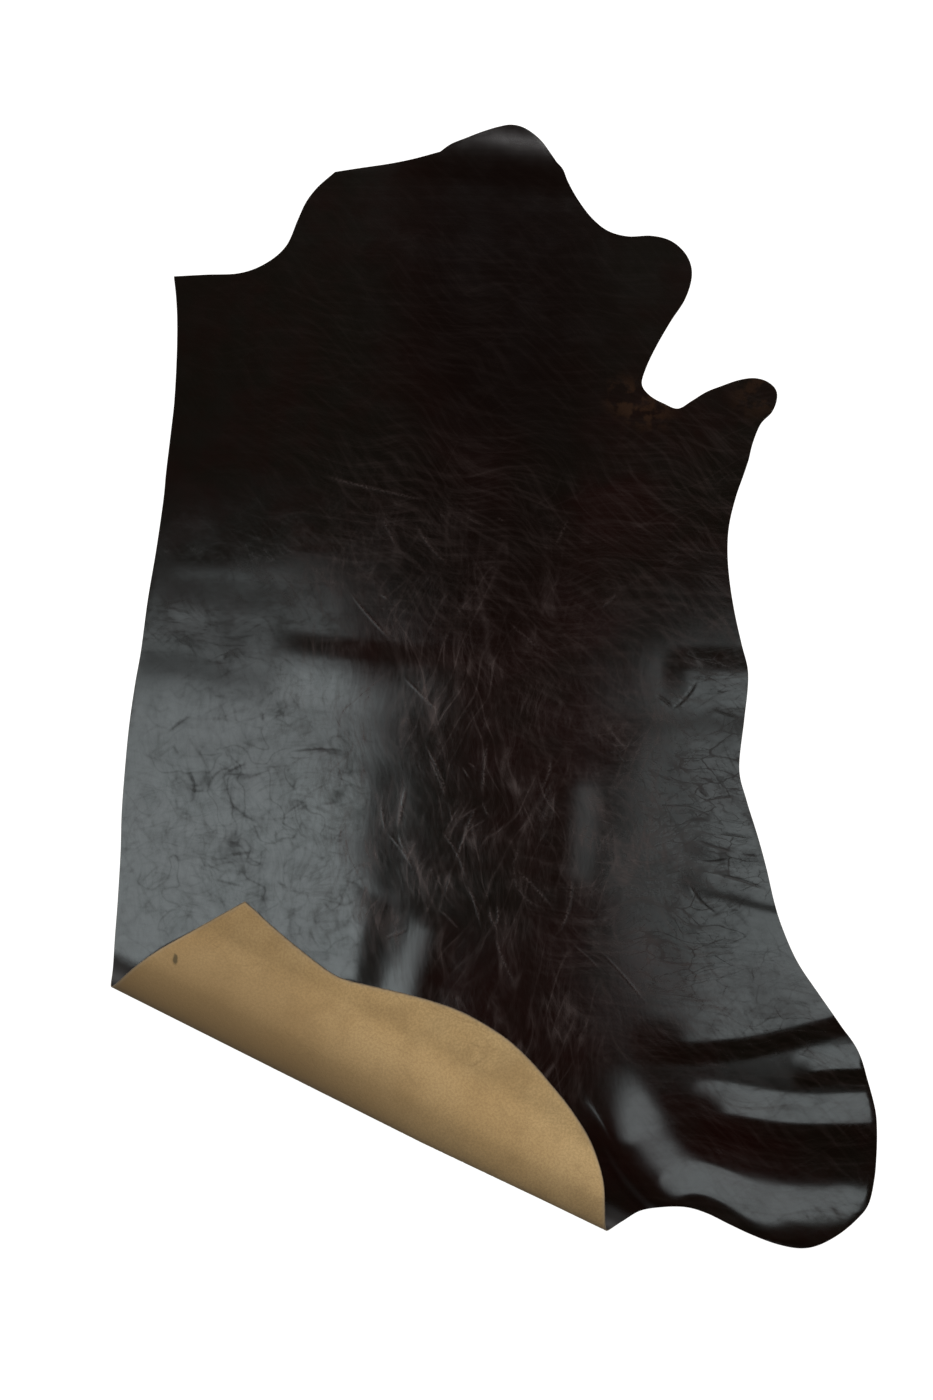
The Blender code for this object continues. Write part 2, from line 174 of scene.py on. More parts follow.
# Wrinkles on the grain side: from one point to another, how far the middle bows to the
# left of the straight line, the half width, and the height, which is below 0 for a
# furrow.
#        from x   y       to x    y      bow     width   height
WRINKLES = {
    "shoulder": (
        (-0.312, 0.380, -0.113, 0.333, -0.002, 0.0022, 0.00009),
        (-0.201, 0.306, -0.174, 0.248, 0.000, 0.0022, 0.00008),
        (-0.143, 0.299, -0.076, 0.214, -0.007, 0.0022, 0.00008),
        (-0.098, 0.313, -0.082, 0.299, 0.000, 0.0017, 0.00006),
        (-0.055, 0.308, -0.015, 0.286, 0.000, 0.0019, 0.00007),
        (0.004, 0.304, 0.022, 0.295, 0.000, 0.0017, 0.00006),
        (-0.204, 0.166, -0.190, 0.157, 0.000, 0.0017, 0.00010),
        (-0.260, 0.171, -0.183, 0.083, -0.003, 0.0019, 0.00010),
        (-0.066, 0.144, -0.057, 0.126, 0.000, 0.0017, 0.00006),
        (0.024, 0.117, 0.089, 0.061, 0.000, 0.0021, 0.00008),
        (0.136, 0.302, 0.111, 0.252, 0.000, 0.0021, 0.00007),
        (0.224, 0.167, 0.192, 0.140, 0.000, 0.0021, 0.00007),
    ),
    "back": (
        (-0.165, 0.020, -0.091, -0.054, 0.000, 0.0022, 0.00009),
        (-0.156, -0.176, -0.172, -0.259, -0.001, 0.0026, 0.00012),
        (-0.172, -0.259, -0.143, -0.331, -0.003, 0.0024, 0.00010),
        (-0.127, -0.099, -0.082, -0.205, 0.005, 0.0024, 0.00010),
        (-0.082, -0.205, -0.073, -0.250, 0.001, 0.0021, 0.00009),
        (-0.098, -0.257, -0.048, -0.356, 0.009, 0.0021, 0.00010),
        (-0.048, -0.356, -0.022, -0.437, 0.003, 0.0021, 0.00011),
        (-0.010, -0.095, -0.019, -0.205, -0.002, 0.0026, 0.00011),
        (-0.019, -0.205, -0.006, -0.238, -0.002, 0.0021, 0.00010),
        (-0.028, -0.209, -0.073, -0.328, -0.001, 0.0021, 0.00010),
        (-0.073, -0.328, -0.089, -0.385, 0.000, 0.0019, 0.00009),
        (0.006, -0.389, 0.004, -0.439, 0.003, 0.0019, 0.00012),
        (0.100, -0.119, 0.078, -0.193, 0.010, 0.0022, 0.00008),
        (0.042, -0.299, 0.100, -0.405, -0.029, 0.0022, 0.00008),
        (0.136, -0.333, 0.107, -0.455, 0.015, 0.0024, 0.00010),
        (-0.195, -0.455, -0.154, -0.439, 0.000, 0.0017, 0.00010),
        (-0.057, -0.144, -0.042, -0.167, 0.000, 0.0017, 0.00010),
        (-0.201, -0.210, -0.193, -0.263, -0.002, 0.0020, 0.00008),
        (-0.193, -0.263, -0.152, -0.317, 0.003, 0.0020, 0.00009),
        (-0.124, -0.117, -0.084, -0.210, 0.004, 0.0020, 0.00008),
        (-0.008, -0.392, 0.008, -0.441, -0.004, 0.0020, 0.00010),
        (0.044, -0.290, 0.033, -0.324, 0.002, 0.0020, 0.00008),
        (0.033, -0.324, 0.113, -0.410, 0.004, 0.0020, 0.00009),
        (0.000, -0.441, 0.041, -0.542, -0.003, 0.0020, 0.00008),
        (0.185, -0.470, 0.278, -0.576, 0.003, 0.0018, 0.00008),
        (0.140, -0.463, 0.195, -0.515, 0.002, 0.0018, 0.00007),
        (-0.102, -0.398, -0.057, -0.445, 0.002, 0.0020, 0.00008),
        (-0.197, -0.455, -0.152, -0.437, 0.002, 0.0020, 0.00008),
        (-0.048, -0.135, -0.028, -0.151, 0.000, 0.0017, 0.00009),
    ),
    "loin": (
        (-0.487, 0.047, -0.478, 0.063, 0.000, 0.0026, -0.00020),
        (-0.541, -0.050, -0.590, -0.086, -0.002, 0.0028, -0.00020),
        (-0.577, -0.106, -0.566, -0.124, 0.000, 0.0024, -0.00014),
        (-0.557, -0.144, -0.544, -0.207, 0.011, 0.0026, -0.00030),
        (-0.573, -0.200, -0.568, -0.223, 0.000, 0.0024, -0.00014),
        (-0.490, -0.160, -0.440, -0.135, 0.000, 0.0024, -0.00018),
        (-0.483, -0.200, -0.415, -0.250, -0.004, 0.0026, -0.00024),
        (-0.478, -0.281, -0.456, -0.283, 0.000, 0.0022, -0.00034),
        (-0.490, -0.306, -0.424, -0.297, 0.000, 0.0026, -0.00016),
        (-0.392, -0.257, -0.390, -0.283, 0.000, 0.0024, -0.00018),
        (-0.507, -0.347, -0.444, -0.362, 0.000, 0.0024, -0.00026),
        (-0.392, -0.349, -0.370, -0.364, 0.000, 0.0024, -0.00024),
        (-0.370, -0.117, -0.260, -0.117, 0.004, 0.0024, -0.00014),
        (-0.417, -0.043, -0.413, -0.063, 0.000, 0.0024, -0.00014),
    ),
    "belly": (
        (0.291, -0.016, 0.321, -0.041, 0.003, 0.0022, -0.00036),
        (0.321, -0.041, 0.366, 0.011, -0.005, 0.0024, -0.00040),
        (0.386, -0.034, 0.444, -0.054, -0.002, 0.0030, -0.00020),
        (0.287, -0.214, 0.366, -0.211, -0.002, 0.0018, -0.00024),
        (0.366, -0.211, 0.444, -0.200, 0.005, 0.0018, -0.00036),
        (0.366, -0.184, 0.386, -0.200, -0.002, 0.0018, -0.00026),
        (0.359, -0.277, 0.440, -0.301, -0.001, 0.0020, -0.00040),
        (0.440, -0.301, 0.480, -0.306, -0.001, 0.0020, -0.00034),
        (0.393, -0.265, 0.469, -0.275, 0.002, 0.0018, -0.00034),
        (0.366, -0.313, 0.422, -0.310, -0.005, 0.0018, -0.00026),
        (0.393, -0.338, 0.498, -0.371, 0.005, 0.0022, -0.00050),
        (0.352, -0.355, 0.408, -0.412, -0.008, 0.0022, -0.00034),
    ),
}

WRINKLE_FADE = 0.3       # share of its length over which a wrinkle rises, and falls again
SKIRT_WIDTH = 2.4        # of the dip beside a ridge or the lip beside a furrow, in widths
SKIRT_SHARE = 0.3        # and its height as a share of the wrinkle's
FULLY_RUBBED = 0.00012   # height from which a wrinkle's crest is fully rubbed

# Uneven thickness: long low waves over the sheet, each in its own direction.
SWELL_WAVES = 14
SWELL_LENGTHS = (0.09, 0.26)    # from crest to crest, shortest and longest
SWELL_SLOPE = 0.0016            # of one wave, at its steepest
SWELL_SEED = 11

# Spacing of the points that the mesh is made from.
EDGE_STEP = 0.005
RIDGE_STEP = 0.012       # along the crest of a ridge
GRAIN_STEP = 0.0062      # on the grain side where it shows
COVERED_STEP = 0.020     # where the turned-over corner covers it, and underneath
SUEDE_STEP = 0.0055      # on the flesh side of the turned-over corner
LOOP_STEPS = (0.006, 0.003)     # along the fold, and round its loop
COVERED_MARGIN = 0.020   # how far in from the flap's edge the leather counts as covered
EDGE_CLEAR = 0.6         # least gap between other points and the cut edge, in steps
WRINKLE_STEP = 0.0045    # along a wrinkle
WRINKLE_ROWS = (-2.6, -1.3, -0.6, 0.0, 0.6, 1.3, 2.6)    # beside its line, in its widths
WRINKLE_CLEAR = 3.6      # widths to either side of it that have no other points
WRINKLE_EDGE_GAP = 0.002 # least gap between its points and the cut edge
SAME_POINT = 1e-6        # gap under which two points are one

# The cut edge in cross-section: how far out it stands, and its height as a share of the
# thickness, from the grain side to the flesh side.
RIM_PROFILE = ((0.00025, 0.88), (0.00035, 0.50), (0.00025, 0.12))
RELIEF_FADE = 0.004      # from the cut edge to where the grain has its full relief

# How far the masks for the finishes reach.
BY_EDGE = 0.006          # inwards from the cut edge
IN_FOLD = 0.030          # inwards from where the sheet lifts off
# Painted shade on the suede round the fold, which the suede finish lays into its colour:
FULL_SHADE_LENGTH = 0.35     # of the fold, from its backbone end, over which its painted shade is full
SHADE_WEAKENING_LENGTH = 0.45   # after it, over which the painted shade weakens towards the butt
SHADE_WEAKENS_BY = 0.50
SHADE_REACH = 5.0        # way round the loop over which the shade of the fold fades
REGION_RIM = 1.25        # where a region has faded out, in shares of its half axes
REGION_FADE = 1.1        # how steeply
SHARP_ANGLE = 35.0       # degrees


def smooth_step(x):
    """0 below 0, 1 above 1, and an S curve that is level at both ends between them."""
    x = np.clip(x, 0.0, 1.0)
    return x * x * (3.0 - 2.0 * x)


def smooth_stretch(marks, step, samples=24):
    """Catmull-Rom curve through the marks: each span is a cubic that leaves its marks
    in the direction of their neighbours. It is walked in equal steps of about the given
    length, and the last mark is left to the next stretch."""
    p = np.array(marks)
    p = np.vstack((2.0 * p[0] - p[1], p, 2.0 * p[-1] - p[-2]))
    before, start, end, after = p[:-3], p[1:-2], p[2:-1], p[3:]
    f = np.linspace(0.0, 1.0, samples, endpoint=False)[:, None, None]
    curve = 0.5 * (
        2.0 * start
        + (end - before) * f
        + (2.0 * before - 5.0 * start + 4.0 * end - after) * f ** 2
        + (3.0 * start - before - 3.0 * end + after) * f ** 3
    )
    curve = np.vstack((curve.transpose(1, 0, 2).reshape(-1, 2), marks[-1]))
    length = np.concatenate(((0.0,), np.cumsum(np.linalg.norm(np.diff(curve, axis=0), axis=1))))
    walk = np.linspace(0.0, length[-1], round(length[-1] / step), endpoint=False)
    return np.column_stack([np.interp(walk, length, axis) for axis in curve.T])


def cut_edge(step):
    """The whole cut edge of the flat sheet as a closed ring of points."""
    return np.vstack([smooth_stretch(marks, step) for marks in EDGE_STRETCHES.values()])


def fold_axes():
    """Unit vectors along the fold, and from the fold inwards over the sheet."""
    along = (FOLD_END - FOLD_START) / np.linalg.norm(FOLD_END - FOLD_START)
    return along, np.array((-along[1], along[0]))


def unit_loop(steps=96):
    """Path of the flesh side round a loop of height 1: its distance inwards from the
    fold line, its height, and its length from the point where it leaves the surface.
    A quarter ellipse goes out and up, another goes back to the crest, and half a
    cosine wave comes down to the surface again."""
    turn = np.linspace(0.0, np.pi / 2.0, steps)
    fall = np.linspace(0.0, 1.0, 2 * steps)[1:]
    inwards = np.concatenate((
        LIFT_OFF * (1.0 - np.sin(turn)),
        CREST_SETBACK * (1.0 - np.cos(turn[1:])),
        CREST_SETBACK + LANDING_RUN * fall,
    ))
    height = np.concatenate((
        BULGE_HEIGHT * (1.0 - np.cos(turn)),
        BULGE_HEIGHT + (1.0 - BULGE_HEIGHT) * np.sin(turn[1:]),
        0.5 * (1.0 + np.cos(np.pi * fall)),
    ))
    length = np.concatenate(((0.0,), np.cumsum(np.hypot(np.diff(inwards), np.diff(height)))))
    return inwards, height, length


def place_along(x, y, curve):
    """Share of a curve's length at the point of it that is nearest to each place, and the
    distance from it, which is above 0 on the left of the curve."""
    start, side = curve[:-1], np.diff(curve, axis=0)
    length = np.hypot(*side.T)
    dx, dy = x[:, None] - start[:, 0], y[:, None] - start[:, 1]
    along = np.clip((dx * side[:, 0] + dy * side[:, 1]) / length ** 2, 0.0, 1.0)
    gap = np.hypot(dx - along * side[:, 0], dy - along * side[:, 1])
    nearest = gap.argmin(axis=1)
    pick = np.arange(len(x)), nearest
    on_left = np.sign(side[nearest, 0] * dy[pick] - side[nearest, 1] * dx[pick])
    walked = (np.cumsum(length) - length)[nearest] + along[pick] * length[nearest]
    return walked / length.sum(), gap[pick] * on_left


def soft_forms(x, y, forms):
    """Height of soft forms over the surface: across each one a raised cosine with its
    own reach on either side, and along it a rise and a fall."""
    height = np.zeros_like(x)
    for _, crest, left, right, marks in forms:
        curve = np.vstack((smooth_stretch(marks, RIDGE_STEP), marks[-1]))
        (x0, y0), (x1, y1) = curve.min(axis=0), curve.max(axis=0)
        reach = max(left, right)
        near = (x > x0 - reach) & (x < x1 + reach) & (y > y0 - reach) & (y < y1 + reach)
        share, sideways = place_along(x[near], y[near], curve)
        across = np.clip(np.abs(sideways) / np.where(sideways > 0.0, left, right), 0.0, 1.0)
        fade = smooth_step(share / RIDGE_FADE) * smooth_step((1.0 - share) / RIDGE_FADE)
        height[near] += crest * fade * 0.5 * (1.0 + np.cos(np.pi * across))
    return height


def loop_height(u):
    """Height of the fold's loop at a distance along the fold."""
    stations, heights, _ = np.transpose(LOOP_STATIONS)
    return np.interp(u, stations, heights)


def way_round(flat):
    """How far round the loop a point of the flat sheet is, for a loop of height 1. It is
    0 on the part that lies grain side up."""
    along, inwards = fold_axes()
    loop = loop_height((flat - FOLD_START) @ along)
    return np.maximum(LIFT_OFF * loop - (flat - FOLD_START) @ inwards, 0.0) / loop


def lay_down(flat):
    """Where each point of the flat sheet lies, on its flesh side. Up to the loop it stays
    in its place. From there on, its distance from the lift-off line is its way round the
    loop, which bows out over the first part of the way and back over a later one."""
    along, inwards = fold_axes()
    u, v = ((flat - FOLD_START) @ np.column_stack((along, inwards))).T
    stations, _, bows = np.transpose(LOOP_STATIONS)
    loop = loop_height(u)
    way = way_round(flat)
    path_in, path_height, path_length = unit_loop()
    past = np.maximum(way - path_length[-1], 0.0)
    bow = np.interp(u, stations, bows) * smooth_step(way) * smooth_step(2.0 - way / 2.0)
    folded_v = loop * (np.interp(way, path_length, path_in) + past) - bow
    v = np.where(way > 0.0, folded_v, v)
    xy = FOLD_START + u[:, None] * along + v[:, None] * inwards
    layers = (2.0 * THICKNESS + FLAP_GAP) * smooth_step(way / path_length[-1])
    z = loop * np.interp(way, path_length, path_height) + layers + soft_forms(*xy.T, RIDGES)
    return np.column_stack((xy, z))


def flat_under(x, y):
    """Place on the flat sheet of the point of the turned-over corner that lies at x, y."""
    along, inwards = fold_axes()
    u, v = (np.array((x, y)) - FOLD_START) @ np.column_stack((along, inwards))
    path_in, _, path_length = unit_loop()
    outermost = path_in.argmin()
    inwards_share = v / loop_height(u)
    way = np.interp(inwards_share, path_in[outermost:], path_length[outermost:])
    way += max(inwards_share - path_in[-1], 0.0)
    return FOLD_START + u * along + (LIFT_OFF - way) * loop_height(u) * inwards


def grain_normals(flat, reach=0.0005):
    """Unit vectors out of the grain side: the cross product of the two directions in
    which a point of the laid sheet moves when it moves a little on the flat one."""
    step_x, step_y = np.array((reach, 0.0)), np.array((0.0, reach))
    across = lay_down(flat + step_x) - lay_down(flat - step_x)
    upwards = lay_down(flat + step_y) - lay_down(flat - step_y)
    normal = np.cross(across, upwards)
    return normal / np.linalg.norm(normal, axis=1)[:, None]


# ----------------------------------------------------------------- relief of the grain

def wrinkle_place(flat, wrinkle):
    """Share of a wrinkle's length at each point, and the distance sideways from its line,
    which is a parabola through its two ends."""
    x0, y0, x1, y1, bow = wrinkle[:5]
    reach = np.hypot(x1 - x0, y1 - y0)
    ux, uy = (x1 - x0) / reach, (y1 - y0) / reach
    share = ((flat[:, 0] - x0) * ux + (flat[:, 1] - y0) * uy) / reach
    inside = np.clip(share, 0.0, 1.0)
    sideways = (flat[:, 1] - y0) * ux - (flat[:, 0] - x0) * uy - 4.0 * bow * inside * (1.0 - inside)
    return share, sideways


def wrinkle_relief(flat):
    """Height of the listed wrinkles, and how much each point is on the crest of one
    and in a furrow: across each one a bell curve with a wider and lower one of the other
    sign beside it, and along it a rise and a fall."""
    height, rubbed, furrowed = np.zeros((3, len(flat)))
    for group in WRINKLES.values():
        for wrinkle in group:
            width, crest = wrinkle[5:]
            share, sideways = wrinkle_place(flat, wrinkle)
            along = smooth_step(share / WRINKLE_FADE) * smooth_step((1.0 - share) / WRINKLE_FADE)
            core = np.exp(-((sideways / width) ** 2))
            skirt = np.exp(-((sideways / (SKIRT_WIDTH * width)) ** 2))
            height += crest * along * (core - SKIRT_SHARE * skirt)
            mask = rubbed if crest > 0.0 else furrowed
            np.maximum(mask, along * core * min(1.0, abs(crest) / FULLY_RUBBED), out=mask)
    return height, rubbed, furrowed


def swell(flat):
    """Uneven thickness of the leather: a sum of sine waves in all directions."""
    random = np.random.default_rng(SWELL_SEED)
    turn = random.uniform(0.0, np.pi, SWELL_WAVES)
    length = random.uniform(*SWELL_LENGTHS, SWELL_WAVES)
    start = random.uniform(0.0, 2.0 * np.pi, SWELL_WAVES)
    number = 2.0 * np.pi / length
    phase = flat[:, :1] * (number * np.cos(turn)) + flat[:, 1:] * (number * np.sin(turn)) + start
    return (SWELL_SLOPE / number * np.sin(phase)).sum(axis=1)


# Parts of the hide that have a grain of their own: soft-edged ellipses on the flat sheet.
#        centre x  y     half axes     turn, degrees  strength
REGIONS = {
    "back": (
        (-0.020, -0.180, 0.230, 0.440, 0.0, 1.0),
        (0.030, -0.620, 0.220, 0.200, 20.0, 0.9),
        (-0.190, -0.150, 0.130, 0.400, 0.0, 1.0),
        (-0.080, 0.210, 0.260, 0.200, 0.0, 0.35),
        (-0.210, 0.080, 0.200, 0.300, 0.0, 0.5),
        (0.230, -0.240, 0.130, 0.340, 0.0, 0.7),
    ),
    "shoulder": (
        (-0.060, 0.250, 0.420, 0.260, -10.0, 0.65),
        (-0.050, 0.520, 0.560, 0.480, 0.0, 0.22),
        (0.420, 0.250, 0.300, 0.320, 0.0, 0.8),
        (0.200, 0.060, 0.260, 0.300, 0.0, 0.7),
        (0.220, -0.380, 0.190, 0.300, 0.0, 0.9),
        (0.250, -0.550, 0.200, 0.180, 0.0, 0.6),
        (0.330, -0.540, 0.150, 0.150, 0.0, 0.9),
        (0.320, -0.390, 0.130, 0.150, 0.0, 0.7),
        (0.500, -0.760, 0.340, 0.290, -10.0, 0.45),
    ),
    "loin": (
        (-0.430, -0.260, 0.340, 0.400, 0.0, 1.0),
        (-0.480, 0.150, 0.260, 0.180, 0.0, 0.5),
    ),
    "belly": (
        (0.350, -0.280, 0.200, 0.330, -8.0, 1.0),
        (0.400, -0.490, 0.190, 0.120, 20.0, 0.4),
        (0.470, -0.620, 0.200, 0.150, 0.0, 0.35),
        (0.370, 0.000, 0.120, 0.110, 0.0, 0.5),
    ),
    "oxblood": (
        (-0.060, 0.640, 0.130, 0.300, 10.0, 0.9),
        (0.120, 0.420, 0.260, 0.240, -25.0, 1.0),
        (0.090, 0.020, 0.200, 0.420, 0.0, 1.0),
        (0.120, -0.560, 0.320, 0.200, 15.0, 1.0),
        (0.350, -0.820, 0.300, 0.120, -10.0, 0.9),
        (-0.120, 0.070, 0.200, 0.080, 0.0, 0.8),
    ),
    "rippled": (
        (-0.460, 0.170, 0.330, 0.170, 0.0, 1.0),
        (0.430, 0.020, 0.130, 0.160, 0.0, 0.5),
        (0.500, -0.760, 0.330, 0.290, -10.0, 0.5),
        (0.600, -0.952, 0.130, 0.030, 10.0, 1.0),
    ),
    "darkest": (
        (0.010, 0.720, 0.230, 0.420, 0.0, 1.0),
        (-0.050, 0.250, 0.240, 0.260, 0.0, 0.6),
    ),
    "coarse": (
        (0.262, -0.335, 0.075, 0.085, -20.0, 1.0),
        (0.360, -0.300, 0.060, 0.060, 0.0, 0.5),
    ),
    # darker towards the tip of the turned-over corner
    "darkened": (
        (-0.600, -0.780, 0.200, 0.170, -25.0, 0.34),
    ),
    "armpit": (
        (0.262, 0.508, 0.070, 0.045, -25.0, 1.0),
        (0.480, 0.530, 0.060, 0.050, 30.0, 0.6),
    ),
}


def region(flat, patches):
    """How much each point belongs to a region: the highest of its ellipses, each 1 at its
    centre and falling to 0 past its rim in an S curve."""
    share = np.zeros(len(flat))
    for x, y, half_x, half_y, turn, strength in patches:
        c, s = np.cos(np.radians(turn)), np.sin(np.radians(turn))
        dx, dy = flat[:, 0] - x, flat[:, 1] - y
        away = np.hypot((c * dx + s * dy) / half_x, (c * dy - s * dx) / half_y)
        share = np.maximum(share, strength * smooth_step(REGION_FADE * (REGION_RIM - away)))
    return share


# ----------------------------------------------------------------- mesh of the sheet

def rows_of_points(step_along, step_across, along, edge):
    """Points all over the sheet, in rows in the direction given. Every other row starts
    half a step later, so that three neighbours make a triangle."""
    across = np.array((-along[1], along[0]))
    turned_edge = edge @ np.column_stack((along, across))
    (u0, v0), (u1, v1) = turned_edge.min(axis=0), turned_edge.max(axis=0)
    u, v = np.meshgrid(np.arange(u0, u1, step_along), np.arange(v0, v1, step_across))
    u[::2] += 0.5 * step_along
    return u.reshape(-1, 1) * along + v.reshape(-1, 1) * across


def even_points(step, along, edge):
    """Points all over the sheet at the corners of triangles with three equal sides."""
    return rows_of_points(step, step * np.sqrt(0.75), along, edge)


def depth_inside(points, ring, reach=0.03, share=2000):
    """How far each point is inside the ring: its distance to the nearest side, up to a
    reach, and below 0 outside it, where a line to the left crosses the ring an even
    number of times. Points are taken in shares of like height, each with the sides near
    it."""
    start, end = ring, np.roll(ring, -1, axis=0)
    low, high = np.minimum(start, end)[:, 1], np.maximum(start, end)[:, 1]
    depth = np.empty(len(points))
    for part in np.array_split(np.argsort(points[:, 1]), max(1, len(points) // share)):
        x, y = points[part, :1], points[part, 1:]
        near = (low < y.max() + reach) & (high > y.min() - reach)
        a, side = start[near], (end - start)[near]
        spans = (low[near] <= y) & (high[near] > y)
        rise = np.where(side[:, 1] == 0.0, 1.0, side[:, 1])
        crosses = spans & (x < a[:, 0] + side[:, 0] * (y - a[:, 1]) / rise)
        along = ((x - a[:, 0]) * side[:, 0] + (y - a[:, 1]) * side[:, 1]) / (side ** 2).sum(axis=1)
        along = np.clip(along, 0.0, 1.0)
        gap = np.hypot(x - a[:, 0] - along * side[:, 0], y - a[:, 1] - along * side[:, 1])
        inside = crosses.sum(axis=1) % 2 == 1
        depth[part] = gap.min(axis=1, initial=reach) * np.where(inside, 1.0, -1.0)
    return depth


def wrinkle_points():
    """Extra points along the wrinkles, in rows at a few distances from each line."""
    rows = []
    for group in WRINKLES.values():
        for x0, y0, x1, y1, bow, width, _ in group:
            reach = np.hypot(x1 - x0, y1 - y0)
            direction = np.array((x1 - x0, y1 - y0)) / reach
            left = np.array((-direction[1], direction[0]))
            share = np.linspace(0.0, 1.0, max(3, round(reach / WRINKLE_STEP)))[:, None, None]
            offset = np.array(WRINKLE_ROWS)[None, :, None] * width
            line = np.array((x0, y0)) + share * reach * direction
            rows.append((line + (offset + 4.0 * bow * share * (1.0 - share)) * left).reshape(-1, 2))
    return np.vstack(rows)


def near_wrinkles(points):
    """Whether each point lies among the extra points of a wrinkle."""
    near = np.zeros(len(points), dtype=bool)
    for group in WRINKLES.values():
        for wrinkle in group:
            share, sideways = wrinkle_place(points, wrinkle)
            beside = np.abs(sideways) < WRINKLE_CLEAR * wrinkle[5]
            near |= (share > -0.01) & (share < 1.01) & beside
    return near


def flap_ring(edge):
    """Outline of the turned-over corner as it lies, seen from above."""
    return lay_down(edge[way_round(edge) > 0.0])[:, :2]


def uncovered(flat, edge):
    """1 where the grain side shows, falling to 0 under the turned-over corner and on the
    corner's own grain side."""
    under = smooth_step(depth_inside(flat, flap_ring(edge)) / COVERED_MARGIN)
    return (1.0 - under) * (1.0 - smooth_step(way_round(flat)))


def grain_points(edge):
    """Points for the grain side: close together where it shows, far apart where the
    turned-over corner covers it and on that corner's own grain side."""
    path_end = unit_loop()[2][-1]
    ring = flap_ring(edge)
    kept = []
    for step, shows in ((GRAIN_STEP, True), (COVERED_STEP, False)):
        points = even_points(step, np.array((1.0, 0.0)), edge)
        points = points[depth_inside(points, edge) > EDGE_CLEAR * step]
        way = way_round(points)
        covered = (way > 0.5 * path_end) | (depth_inside(points, ring) > COVERED_MARGIN)
        kept.append(points[covered != shows])
    fine, coarse = kept
    extra = wrinkle_points()
    extra = extra[depth_inside(extra, edge) > WRINKLE_EDGE_GAP]
    return np.vstack((fine[~near_wrinkles(fine)], extra, coarse))


def flesh_points(edge):
    """Points for the flesh side: close together on the turned-over corner and closer
    round the loop, and far apart underneath."""
    along, _ = fold_axes()
    path_end = unit_loop()[2][-1]
    parts = []
    for points, step, part in (
        (even_points(COVERED_STEP, np.array((1.0, 0.0)), edge), COVERED_STEP, "underneath"),
        (even_points(SUEDE_STEP, along, edge), SUEDE_STEP, "corner"),
        (rows_of_points(*LOOP_STEPS, along, edge), SUEDE_STEP, "loop"),
    ):
        way = way_round(points)
        here = np.select((way == 0.0, way > path_end), ("underneath", "corner"), "loop") == part
        parts.append(points[here & (depth_inside(points, edge) > EDGE_CLEAR * step)])
    return np.vstack(parts)


def triangles_over(edge, inner):
    """Points and triangles of the area inside the edge. The edge's own points come first
    and keep their order."""
    points = np.vstack((edge, inner))
    ring = list(range(len(edge)))
    only_inside = 1
    points, _, faces, *_ = delaunay_2d_cdt(points.tolist(), [], [ring], only_inside, SAME_POINT)
    return np.array([tuple(point) for point in points]), np.array(faces)


def outwards_from(edge):
    """Unit vectors in the flat sheet that point out of its edge, square to it."""
    tangent = np.roll(edge, -1, axis=0) - np.roll(edge, 1, axis=0)
    out = np.column_stack((-tangent[:, 1], tangent[:, 0]))
    return out / np.linalg.norm(out, axis=1)[:, None]


def rim_quads(start_rows, count):
    """Faces of the rim between one row of the edge and the next, where each row starts
    at a number given."""
    here = np.arange(count)
    after = np.roll(here, -1)
    quads = []
    for upper, lower in zip(start_rows[:-1], start_rows[1:]):
        quads.append(np.column_stack((upper + here, lower + here, lower + after, upper + after)))
    return np.vstack(quads)


def sheet_mesh():
    """The whole sheet: the grain side, the flesh side and the rim of the cut edge between
    them, joined into one closed surface."""
    edge = cut_edge(EDGE_STEP)
    grain_flat, grain_faces = triangles_over(edge, grain_points(edge))
    flesh_flat, flesh_faces = triangles_over(edge, flesh_points(edge))

    relief = wrinkle_relief(grain_flat)[0] + swell(grain_flat) + soft_forms(*grain_flat.T, DENTS)
    relief *= smooth_step(depth_inside(grain_flat, edge) / RELIEF_FADE) * uncovered(grain_flat, edge)
    grain = lay_down(grain_flat) + (THICKNESS + relief)[:, None] * grain_normals(grain_flat)
    flesh = lay_down(flesh_flat)

    rim_flats = [edge + out * outwards_from(edge) for out, _ in RIM_PROFILE]
    rims = [lay_down(rim_flat) + height * THICKNESS * grain_normals(edge)
            for rim_flat, (_, height) in zip(rim_flats, RIM_PROFILE)]

    count = len(edge)
    first_flesh = len(grain)
    first_rim = first_flesh + len(flesh)
    rows = [0] + [first_rim + i * count for i in range(len(RIM_PROFILE))] + [first_flesh]
    quads = rim_quads(rows, count)
    points = np.vstack((grain, flesh, *rims))
    flats = np.vstack((grain_flat, flesh_flat, *rim_flats))
    faces = grain_faces.tolist() + (flesh_faces[:, ::-1] + first_flesh).tolist() + quads.tolist()
    finish = np.repeat((0, 1, 2), (len(grain_faces), len(flesh_faces), len(quads)))
    return points, flats, faces, finish


def set_mask(mesh, name, values):
    """Keeps a value for each point of the mesh, for its material to read."""
    mesh.attributes.new(name, "FLOAT", "POINT").data.foreach_set("value", values.astype(np.float32))


def past_lift_off(flat):
    """How far each point of the flat sheet is inwards of the line where it lifts off."""
    along, inwards = fold_axes()
    return (flat - FOLD_START) @ inwards - LIFT_OFF * loop_height((flat - FOLD_START) @ along)


def fold_shade(flat):
    """Painted shade on the suede: 1 at the outermost line of the fold, falling to 0 where the
    corner lies down, and less towards the butt end."""
    way = way_round(flat)
    path_in, _, path_length = unit_loop()
    outermost = path_length[path_in.argmin()]
    u = (flat - FOLD_START) @ fold_axes()[0]
    # the painted shade is full at the backbone end of the fold and weaker towards the butt
    darkened = 1.0 - SHADE_WEAKENS_BY * smooth_step((u - FULL_SHADE_LENGTH) / SHADE_WEAKENING_LENGTH)
    past = (way - outermost) / SHADE_REACH
    return darkened * smooth_step(way / outermost) * (1.0 - smooth_step(past))


